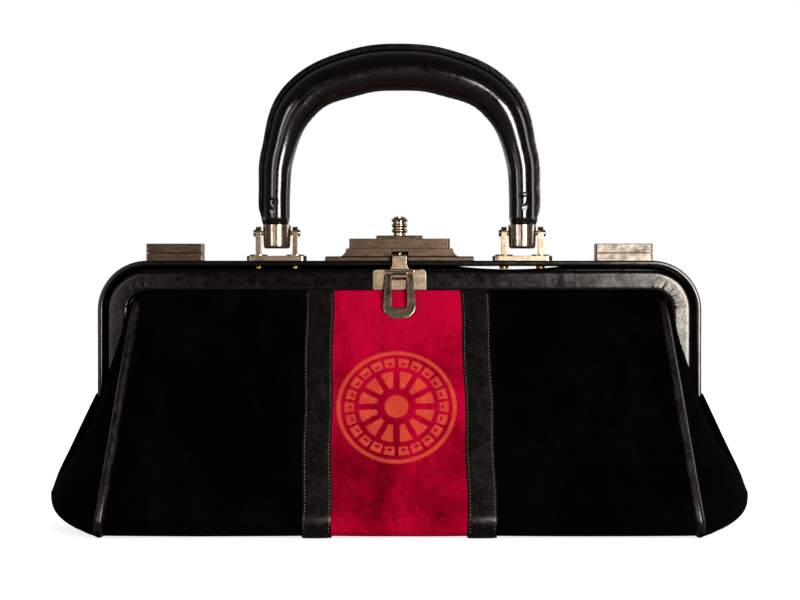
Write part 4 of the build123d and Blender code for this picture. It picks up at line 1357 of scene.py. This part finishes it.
@dataclass
class FrameLeather:
    """The leather-covered jaws and carrying band, swept round the arch of the frame."""

    wardrobe: Wardrobe
    leg_steps: int = 26
    corner_steps: int = 48
    top_steps: int = 90
    jaw_edge: float = 1.4 * MM
    band_edge: float = 0.7 * MM
    front_width: float = 8.8 * MM
    rear_width: float = 10.8 * MM
    band_width: float = 2.2 * MM
    front_corner: float = 16.8 * MM
    rear_corner: float = 18.8 * MM
    band_corner: float = 21.0 * MM
    skin_depth: float = 0.05 * MM
    skin_scale: float = 90.0
    face_depth: float = 2.0 * MM
    crease_depth: float = 0.075 * MM
    crease_width: float = 0.42 * MM
    crease_margin: float = 3.0 * MM
    creases_per_corner: int = 12
    deepest_groove: float = 1.2
    sag_middle: float = 47.5 * MM
    sag_length: float = 44.0 * MM
    sag_depth: float = 1.2 * MM

    def build(self) -> None:
        """Makes the three leather arches."""
        self._arch("front_jaw_leather", "front_jaw", self.front_width, self.jaw_edge, self.front_corner)
        self._arch("rear_jaw_leather", "bag", self.rear_width, self.jaw_edge, self.rear_corner)
        self._arch("carrying_band", "bag", self.band_width, self.band_edge, self.band_corner)

    def _arch(self, node: str, body: str, width: float, edge: float, corner: float) -> None:
        """Sweeps a rounded strip up one leg, over the top and down the other leg.

        Args:
            node: The CAD node that the piece stands for.
            body: The body that it rides on.
            width: The strip's width in the front view.
            edge: The rounding of its long edges.
            corner: The outer radius of the arch's corners.
        """
        low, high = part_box(node)
        middle_y = (high[1] + low[1]) / 2
        creased = node != "carrying_band"
        deselect_all()
        bpy.ops.mesh.primitive_plane_add(size=1.0)
        piece = bpy.context.object
        piece.name = f"{node}_cover"
        bpy.ops.object.mode_set(mode="EDIT")
        bpy.ops.mesh.select_all(action="SELECT")
        bpy.ops.transform.resize(value=(width, high[1] - low[1], 1.0))
        bpy.ops.mesh.bevel(offset=edge, segments=4, affect="VERTICES")
        if creased:
            bpy.ops.mesh.subdivide(number_cuts=5)
        bpy.ops.transform.translate(value=(high[0] - width / 2, middle_y, low[2]))
        leg = high[2] - corner - low[2]
        self._extrude_run(Vector((0, 0, leg)), self.leg_steps)
        self._spin(Vector((high[0] - corner, middle_y, high[2] - corner)))
        self._extrude_run(Vector((-2 * (high[0] - corner), 0, 0)), self.top_steps)
        self._spin(Vector((-(high[0] - corner), middle_y, high[2] - corner)))
        self._extrude_run(Vector((0, 0, -leg)), self.leg_steps)
        close_mesh()
        if creased:
            self._work_leather(piece, low, high, width, corner)
        if node == "rear_jaw_leather":
            self._sag(piece, high[2])
        dress(piece, self.wardrobe.leather)
        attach(piece, body)
        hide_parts(node)

    @staticmethod
    def _extrude_run(run: Vector, steps: int) -> None:
        """Extrudes the selected end along a straight run, in even steps."""
        for _ in range(steps):
            bpy.ops.mesh.extrude_region_move(TRANSFORM_OT_translate={"value": tuple(run / steps)})

    def _spin(self, centre: Vector) -> None:
        """Turns the selected end a quarter round a corner's centre, towards -X."""
        bpy.ops.mesh.spin(steps=self.corner_steps, angle=math.pi / 2, center=tuple(centre), axis=(0, 1, 0))

    def _crease_lines(self, dice: random.Random) -> list[tuple[Side, float, float, float, float]]:
        """Scatters creases over the two corners.

        Args:
            dice: The source of the random draws.

        Returns:
            The side, angle, length, depth and lean of each crease.
        """
        creases = []
        for side in Side:
            for i in range(self.creases_per_corner):
                angle = math.pi / 2 * (i + dice.uniform(0.1, 0.9)) / self.creases_per_corner
                length = dice.uniform(0.35, 1.0)
                depth = dice.uniform(0.4, 1.0)
                creases.append((side, angle, length, depth, dice.uniform(-0.1, 0.1)))
        return creases

    def _work_leather(self, piece: Piece, low: Vector, high: Vector, width: float, corner: float) -> None:
        """Gives the leather its uneven skin and the creases that run out from the inside of the corners.

        Args:
            piece: The swept strip.
            low: The lower corner of the CAD node's box.
            high: The upper corner of the CAD node's box.
            width: The strip's width in the front view.
            corner: The outer radius of the arch's corners.
        """
        creases = self._crease_lines(random.Random(piece.name))
        centre_x, centre_z = high[0] - corner, high[2] - corner
        for vertex in piece.data.vertices:
            x, y, z = vertex.co
            front = smooth_step(self.face_depth, 0.0, y - low[1])
            back = smooth_step(self.face_depth, 0.0, high[1] - y)
            skin = self.skin_depth * noise.noise(vertex.co * self.skin_scale)
            reach = math.hypot(abs(x) - centre_x, z - centre_z)
            across = (reach - (corner - width)) / width
            groove = 0.0
            if abs(x) > centre_x - self.crease_margin and z > centre_z - self.crease_margin:
                angle = math.atan2(z - centre_z, abs(x) - centre_x)
                for side, place, length, depth, lean in creases:
                    if side.value * x > 0:
                        off = (angle - place - lean * across) * reach / self.crease_width
                        groove += depth * math.exp(-off * off) * smooth_step(length, length * 0.2, across)
            vertex.co.y += (front - back) * (skin + min(groove, self.deepest_groove) * self.crease_depth)

    def _sag(self, piece: Piece, top: float) -> None:
        """Lets the top of the rear cover sag away from the band beside the handle.

        Args:
            piece: The rear cover.
            top: Its upper edge.
        """
        for vertex in piece.data.vertices:
            if vertex.co.z > top - 2 * self.sag_depth:
                share = (vertex.co.x - self.sag_middle) / (self.sag_length / 2)
                vertex.co.z -= self.sag_depth * max(1 - share**2, 0.0)


@dataclass
class RolledHandle:
    """The rolled leather handle with its stitched welt.

    Each station of the roll is given by its shares of the half span, the rise and the swell. Each nick has
    two ends and a depth. Scales of noise are per metre.
    """

    wardrobe: Wardrobe
    half_span: float = 52.6 * MM
    axis: float = 126.0 * MM
    rise: float = 69.7 * MM
    end_radius: float = 5.6 * MM
    crown_radius: float = 8.7 * MM
    end_taper: float = 3.2 * MM
    end_share: float = 0.86
    roll_steps: int = 340
    ridge_rise: float = 1.1 * MM
    gather_depth: float = 0.05 * MM
    gather_ripples: float = 330.0
    gather_scale: float = 120.0
    skin_depth: float = 0.07 * MM
    skin_scale: float = 75.0
    seam_depth: float = 0.25 * MM
    seam_place: float = 0.93
    seam_width: float = 0.03
    nick_width: float = 0.55 * MM
    welt_foot_proud: float = 2.1 * MM
    welt_crown_proud: float = 2.9 * MM
    welt_start: float = 130.6 * MM
    welt_half: float = 0.95 * MM
    welt_taper: float = 7.0 * MM
    welt_length: float = 280.0 * MM
    welt_waver: float = 0.12 * MM
    welt_waver_scale: float = 60.0
    welt_root: float = 0.8
    welt_foot_share: float = 0.12
    welt_edge: float = 0.5 * MM
    stitch_count: int = 105
    stitch_length: float = 1.7 * MM
    stitch_proud: float = 0.12 * MM
    stitch_height: float = 1.0 * MM
    stitch_ends: Size = (0.085, 0.915)
    nicks: tuple = (
        ((-0.0560, -0.0045, 0.1406), (-0.0532, -0.0056, 0.1392), 0.42 * MM),
        ((-0.0557, -0.0047, 0.1368), (-0.0543, -0.0054, 0.1352), 0.3 * MM),
        ((0.0516, -0.0055, 0.1419), (0.0545, -0.0053, 0.1426), 0.36 * MM),
        ((0.0529, -0.0056, 0.1366), (0.0546, -0.0053, 0.1379), 0.36 * MM),
    )
    shares: tuple = ((1.0, 0.052, 0.0), (1.0, 0.085, 0.0), (1.0, 0.245, 0.04), (0.972, 0.485, 0.17),
                     (0.782, 0.812, 0.72), (0.36, 0.968, 0.97), (0.0, 1.0, 1.0))

    def build(self) -> None:
        """Makes the roll, the welt and its stitches."""
        points, radii = self._route()
        roll = round_tube("handle_roll_leather", points, radii, sides=20)
        self._crease(roll, points, radii)
        dress(roll, self.wardrobe.handle_leather)
        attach(roll, "handle")
        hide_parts("handle_grip")
        self._welt(points, radii)
        self._welt_stitches(points, radii)

    def _stations(self) -> list[Point]:
        """Lists where the roll is measured, from the left ferrule to the right one.

        Returns:
            The place along X, the height and the radius of each station.
        """
        half = []
        for out, up, swell in self.shares:
            radius = self.end_radius + (self.crown_radius - self.end_radius) * swell
            half.append((-self.half_span * out, self.axis + self.rise * up, radius))
        return half + [(-x, z, radius) for x, z, radius in reversed(half[:-1])]

    @staticmethod
    def _smooth_line(stations: Sequence[Point]) -> list[Vector]:
        """Draws a smooth curve through the stations.

        Args:
            stations: The stations of the roll.

        Returns:
            Points along the curve.
        """
        curve = bpy.data.curves.new("handle_line", "CURVE")
        curve.dimensions = "3D"
        spline = curve.splines.new("BEZIER")
        spline.bezier_points.add(len(stations) - 1)
        for point, (x, z, radius) in zip(spline.bezier_points, stations):
            point.co = (x, 0, z)
            point.radius = radius
            point.handle_left_type = "AUTO"
            point.handle_right_type = "AUTO"
        curve.resolution_u = 24
        holder = bpy.data.objects.new("handle_line", curve)
        bpy.context.collection.objects.link(holder)
        mesh = bpy.data.meshes.new_from_object(holder)
        line = [v.co.copy() for v in mesh.vertices]
        bpy.data.objects.remove(holder)
        bpy.data.curves.remove(curve)
        bpy.data.meshes.remove(mesh)
        return line

    def _route(self) -> tuple[list[Vector], list[float]]:
        """Follows the roll in even steps, from the left ferrule to the right one.

        Returns:
            The points and the radii.
        """
        stations = self._stations()
        line = self._smooth_line(stations)
        lengths = list(accumulate(((b - a).length for a, b in zip(line, line[1:])), initial=0.0))
        marks = []
        for x, z, _ in stations:
            nearest = min(range(len(line)), key=lambda i: (line[i] - Vector((x, 0, z))).length)
            marks.append(lengths[nearest])
        points, radii = [], []
        for step in range(self.roll_steps + 1):
            target = lengths[-1] * step / self.roll_steps
            index, share = span_at(lengths, target)
            points.append(line[index].lerp(line[index + 1], share))
            station, part = span_at(marks, target)
            radius = mix(stations[station][2], stations[station + 1][2], smooth_step(0, 1, part))
            from_end = min(target, lengths[-1] - target)
            taper = math.sqrt(smooth_step(0.0, self.end_taper, from_end))
            radii.append(radius * mix(self.end_share, 1.0, taper))
        return points, radii

    @staticmethod
    def _outward(points: Sequence[Vector], index: int) -> Vector:
        """The direction away from the inside of the handle at a point of its route.

        Args:
            points: The middle line of the roll.
            index: The number of the point.

        Returns:
            The direction, of length 1.
        """
        before, after = points[max(index - 1, 0)], points[min(index + 1, len(points) - 1)]
        run = (after - before).normalized()
        return Vector((-run.z, 0, run.x))

    def _nick_depth(self, place: Vector) -> float:
        """How deep the nicks are at a place.

        Args:
            place: A place on the roll.

        Returns:
            The depth.
        """
        total = 0.0
        for start, end, depth in self.nicks:
            line = Vector(end) - Vector(start)
            part = min(max((place - Vector(start)).dot(line) / line.length_squared, 0.0), 1.0)
            off = (place - Vector(start).lerp(Vector(end), part)).length
            total += depth * math.exp(-(off / self.nick_width) ** 2)
        return total

    def _crease(self, roll: Piece, points: Sequence[Vector], radii: Sequence[float]) -> None:
        """Draws the roll out to a ridge under the welt, and works in handling creases and a few nicks.

        Args:
            roll: The closed tube of the roll.
            points: The middle line of the roll.
            radii: The roll's radius at each point.
        """
        tree = kdtree.KDTree(len(points))
        for i, point in enumerate(points):
            tree.insert(point, i)
        tree.balance()
        for vertex in roll.data.vertices:
            index = tree.find(vertex.co)[1]
            out = vertex.co - points[index]
            if out.length < 0.5 * radii[index]:
                continue
            outward = self._outward(points, index)
            ridge_turn = math.acos(radii[index] / (radii[index] + self.ridge_rise))
            off_ridge = out.angle(outward, math.pi)
            if off_ridge < ridge_turn:
                vertex.co = points[index] + out / math.cos(ridge_turn - off_ridge)
            inward = max(-out.normalized().dot(outward), 0.0)
            share = index / (len(points) - 1)
            from_end = min(share, 1 - share)
            bend = smooth_step(0.2, 0.32, from_end) * (1 - smooth_step(0.36, 0.5, from_end))
            ripple = math.sin(share * self.gather_ripples + noise.noise(vertex.co * self.gather_scale) * 3)
            gather = self.gather_depth * ripple * bend * inward
            skin = self.skin_depth * noise.noise(vertex.co * self.skin_scale)
            seam_edge = self.seam_depth * math.exp(-((inward - self.seam_place) / self.seam_width) ** 2)
            vertex.co += out.normalized() * (gather + skin - seam_edge - self._nick_depth(vertex.co))

    def _welt(self, points: Sequence[Vector], radii: Sequence[float]) -> None:
        """Makes the flat doubled edge that stands out along the roll.

        Args:
            points: The middle line of the roll.
            radii: The roll's radius at each point.
        """
        count = len(points) - 1
        start = next(i for i, point in enumerate(points) if point.z >= self.welt_start) / count

        def form(u: float, v: float) -> Point:
            """Where a point of the welt lies."""
            share = mix(start, 1 - start, v)
            index = min(int(share * count), count - 1)
            part = share * count - index
            middle = points[index].lerp(points[index + 1], part)
            radius = mix(radii[index], radii[index + 1], part)
            swell = (radius - self.end_radius) / (self.crown_radius - self.end_radius)
            foot = smooth_step(-0.25, 1.0, (middle.z - self.welt_start) / self.welt_taper)
            proud = mix(self.welt_foot_proud, self.welt_crown_proud, swell)
            proud *= mix(self.welt_foot_share, 1.0, foot)
            out = self._outward(points, index).lerp(self._outward(points, index + 1), part)
            waver = self.welt_waver * noise.noise(middle * self.welt_waver_scale)
            root = radius * self.welt_root
            place = middle + out * (root + u * (radius - root + proud + waver))
            return (place.x, 0.0, place.z)
        flat = (self.welt_crown_proud, self.welt_length)
        piece = cloth_grid("handle_welt_leather", (8, 150), form, flat, (0, -1, 0))
        apply_modifier(piece, "SOLIDIFY", thickness=2 * self.welt_half, offset=0.0)
        apply_modifier(piece, "BEVEL", width=self.welt_edge, segments=3, limit_method="ANGLE")
        dress(piece, self.wardrobe.handle_leather)
        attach(piece, "handle")
        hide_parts("handle_grip")

    def _welt_stitches(self, points: Sequence[Vector], radii: Sequence[float]) -> None:
        """Makes the row of stitches along both faces of the welt.

        Args:
            points: The middle line of the roll.
            radii: The roll's radius at each point.
        """
        count = len(points) - 1
        places = []
        for face in Face:
            y = face.value * (self.welt_half + self.stitch_proud)
            for i in range(self.stitch_count):
                share = mix(*self.stitch_ends, i / (self.stitch_count - 1))
                index = min(int(share * count), count - 1)
                run = points[index + 1] - points[index]
                middle = points[index].lerp(points[index + 1], share * count - index)
                place = middle + self._outward(points, index) * (radii[index] + self.stitch_height)
                places.append((Vector((place.x, y, place.z)), run))
        piece = stitch_row("handle_welt_stitches", places, self.stitch_length)
        dress(piece, self.wardrobe.black_thread)
        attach(piece, "handle")


@dataclass
class Fittings:
    """The metal nodes that keep their CAD shape and take a finish, and the latch spring."""

    wardrobe: Wardrobe
    frame: dict
    spring_radius: float = 2.0 * MM
    spring_wire: float = 0.3 * MM
    spring_turns: float = 2.5
    spring_steps: int = 90
    spring_seat: float = 115.9 * MM
    knob_travel: float = 1.0 * MM

    def build(self) -> None:
        """Gives each CAD node its material and winds the spring."""
        wardrobe = self.wardrobe
        finishes = (
            (wardrobe.lock_nickel, ("lock_plate", "lock_case", "lock_collar", "lock_rivets",
                                    "clasp_base_left", "clasp_cover_left")),
            # The right clasp takes a lighter plate than the left one, which paints in the light that falls on
            # it.
            (wardrobe.clasp_nickel, ("clasp_base_right", "clasp_cover_right", "clasp_rivets")),
            (wardrobe.hasp_nickel, ("hasp_plate", "bracket_left", "bracket_right")),
            (wardrobe.bail_nickel, ("pull_bail",)),
            (wardrobe.steel, ("front_jaw_bar", "rear_jaw_bar", "hinge_pin_left", "hinge_pin_right",
                              "latch_plate")),
            (wardrobe.brass, ("post_rivets",)),
            (wardrobe.board, ("base_board",)),
        )
        chosen = {name: material for material, names in finishes for name in names}
        for name, node in self.frame["nodes"].items():
            node.data.materials.clear()
            node.data.materials.append(chosen.get(name, wardrobe.nickel))
        self._spring()

    def _spring(self) -> None:
        """Winds the latch spring anew, as a coil."""
        low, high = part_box("latch_spring")
        height = high[2] - low[2] - 2 * self.spring_wire
        route = []
        for i in range(self.spring_steps + 1):
            share = i / self.spring_steps
            angle = 2 * math.pi * self.spring_turns * share
            x, y = self.spring_radius * math.cos(angle), self.spring_radius * math.sin(angle)
            route.append(Vector((x, y, low[2] + self.spring_wire + height * share)))
        piece = round_tube("latch_spring_coil", route, [self.spring_wire] * len(route), sides=3)
        dress(piece, self.wardrobe.steel)
        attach(piece, "bag")
        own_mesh(piece)
        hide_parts("latch_spring")


@dataclass
class Studio:
    """Camera, soft light and white ground of a product photograph."""

    image_width: float = 800.0
    focal_px: float = 2330.0
    distance: float = 1.0
    eye_height: float = 97.3 * MM
    eye_x: float = 0.2 * MM
    sensor: float = 36.0
    lamp_target: Point = (0.0, 0.0, 0.08)
    white: Point = (1.0, 1.0, 1.0)
    warm: Point = (1.0, 0.91, 0.82)
    floor_size: float = 8.0
    floor_place: Point = (0.0, 2.0, -0.2 * MM)

    def build(self) -> None:
        """Makes the camera, the lamps, the world and the floor."""
        self._camera()
        self._lamp("right_of_camera", (0.43, -1.12, 0.16), (0.38, 0.55), 17.0, self.warm)
        self._lamp("left_front_box", (-1.0, -1.15, 0.35), (0.3, 0.7), 4.0, self.white)
        self._lamp("left_of_camera", (-0.41, -1.12, 0.16), (0.3, 0.5), 0.7, self.warm)
        self._lamp("right_back_box", (1.1, 0.25, 0.3), (0.3, 0.8), 2.5, self.white)
        self._world()
        self._floor()
        bpy.context.scene.view_settings.view_transform = "Standard"

    def _camera(self) -> None:
        """Sets a level camera in front of the bag, as in the photograph."""
        data = bpy.data.cameras.new("camera")
        data.sensor_width = self.sensor
        data.lens = self.sensor * self.focal_px / self.image_width
        data.clip_start = 0.01
        camera = bpy.data.objects.new("camera", data)
        camera.location = (self.eye_x, -self.distance, self.eye_height)
        camera.rotation_euler = (math.pi / 2, 0, 0)
        bpy.context.collection.objects.link(camera)
        bpy.context.scene.camera = camera

    def _lamp(self, name: str, place: Point, size: Size, power: float, tint: Point) -> None:
        """Adds one soft box that faces the bag.

        Args:
            name: The lamp's name.
            place: Where it stands.
            size: Its width and height.
            power: Its power in watts.
            tint: The colour of its light.
        """
        data = bpy.data.lights.new(name, "AREA")
        data.shape = "RECTANGLE"
        data.size, data.size_y = size
        data.energy = power
        data.color = tint
        lamp = bpy.data.objects.new(name, data)
        lamp.location = place
        lamp.rotation_euler = (Vector(self.lamp_target) - Vector(place)).to_track_quat("-Z", "Y").to_euler()
        bpy.context.collection.objects.link(lamp)

    @staticmethod
    def _world() -> None:
        """Makes a white surround behind and beside the bag and a dim room in front of it."""
        world = bpy.data.worlds.new("studio")
        bpy.context.scene.world = world
        world.use_nodes = True
        tree = world.node_tree
        ray = add_node(tree, "ShaderNodeLightPath").outputs
        place = add_node(tree, "ShaderNodeTexCoord").outputs["Generated"]
        depth = add_node(tree, "ShaderNodeSeparateXYZ", {0: place}).outputs["Y"]
        share = add_node(tree, RANGE, {"Value": depth, "From Min": -1.0, "From Max": 1.0})
        room = add_node(tree, RAMP, {0: share}, stops=[
            (0.0, grey(0.01)), (0.5, grey(0.07)), (0.8, grey(0.22)), (0.92, grey(0.9)), (1.0, grey(0.95))])
        lit = add_node(tree, MATH, {0: room, 1: ray["Is Camera Ray"]}, operation="MAXIMUM")
        seen = add_node(tree, MATH, {0: lit, 1: ray["Is Transmission Ray"]}, operation="MAXIMUM")
        set_inputs(tree, tree.nodes["Background"], {"Color": seen})

    def _floor(self) -> None:
        """Makes a pale floor that shows white to the camera but keeps a soft shadow."""
        deselect_all()
        bpy.ops.mesh.primitive_plane_add(size=self.floor_size, location=self.floor_place)
        floor = bpy.context.object
        floor.name = "floor"
        # A matt paper sweep: white behind the bag, and dim in front of it where the leather mirrors it.
        material, tree, shader = new_material("white_sweep")
        ray = add_node(tree, "ShaderNodeLightPath").outputs
        place = add_node(tree, "ShaderNodeTexCoord").outputs["Object"]
        depth = add_node(tree, "ShaderNodeSeparateXYZ", {0: place}).outputs["Y"]
        behind = add_node(tree, RANGE, {
            "Value": depth, "From Min": -1.7, "From Max": -1.2, "To Min": 0.04, "To Max": 1.0})
        mirrored = add_node(tree, MATH, {0: ray["Is Glossy Ray"], 1: behind}, operation="MULTIPLY")
        in_front = add_node(tree, MATH, {0: ray["Is Glossy Ray"], 1: mirrored}, operation="SUBTRACT")
        pale = add_node(tree, "ShaderNodeMix", {
            0: in_front, 6: linear_colour("F2F2F2"), 7: linear_colour("585858")}, data_type="RGBA").outputs[2]
        near = add_node(tree, RANGE, {
            "Value": depth, "From Min": -2.0, "From Max": -1.7, "To Min": 0.8, "To Max": 1.0})
        shown = add_node(tree, MATH, {0: ray["Is Camera Ray"], 1: near}, operation="MULTIPLY")
        glow = add_node(tree, MATH, {0: shown, 1: mirrored}, operation="MAXIMUM")
        set_inputs(tree, shader, {
            "Base Color": pale, "Roughness": 0.8, "Specular IOR Level": 0.1, "Emission Color": grey(1.0),
            "Emission Strength": glow})
        floor.data.materials.append(material)


def main() -> None:
    """Loads the frame and dresses the bag."""
    logging.basicConfig(level=logging.INFO)
    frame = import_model()
    form = BodyForm()
    rosette_off, rosette_drop = 1.5 * MM, 0.47
    rosette = RosetteWeave(centre=(form.seam - rosette_off, form.turn_length() * rosette_drop))
    wardrobe = Wardrobe(rosette)
    Studio().build()
    Fittings(wardrobe, frame).build()
    VelvetBody(form, wardrobe).build()
    FrameLeather(wardrobe).build()
    RolledHandle(wardrobe).build()


if __name__ == "__main__":
    main()
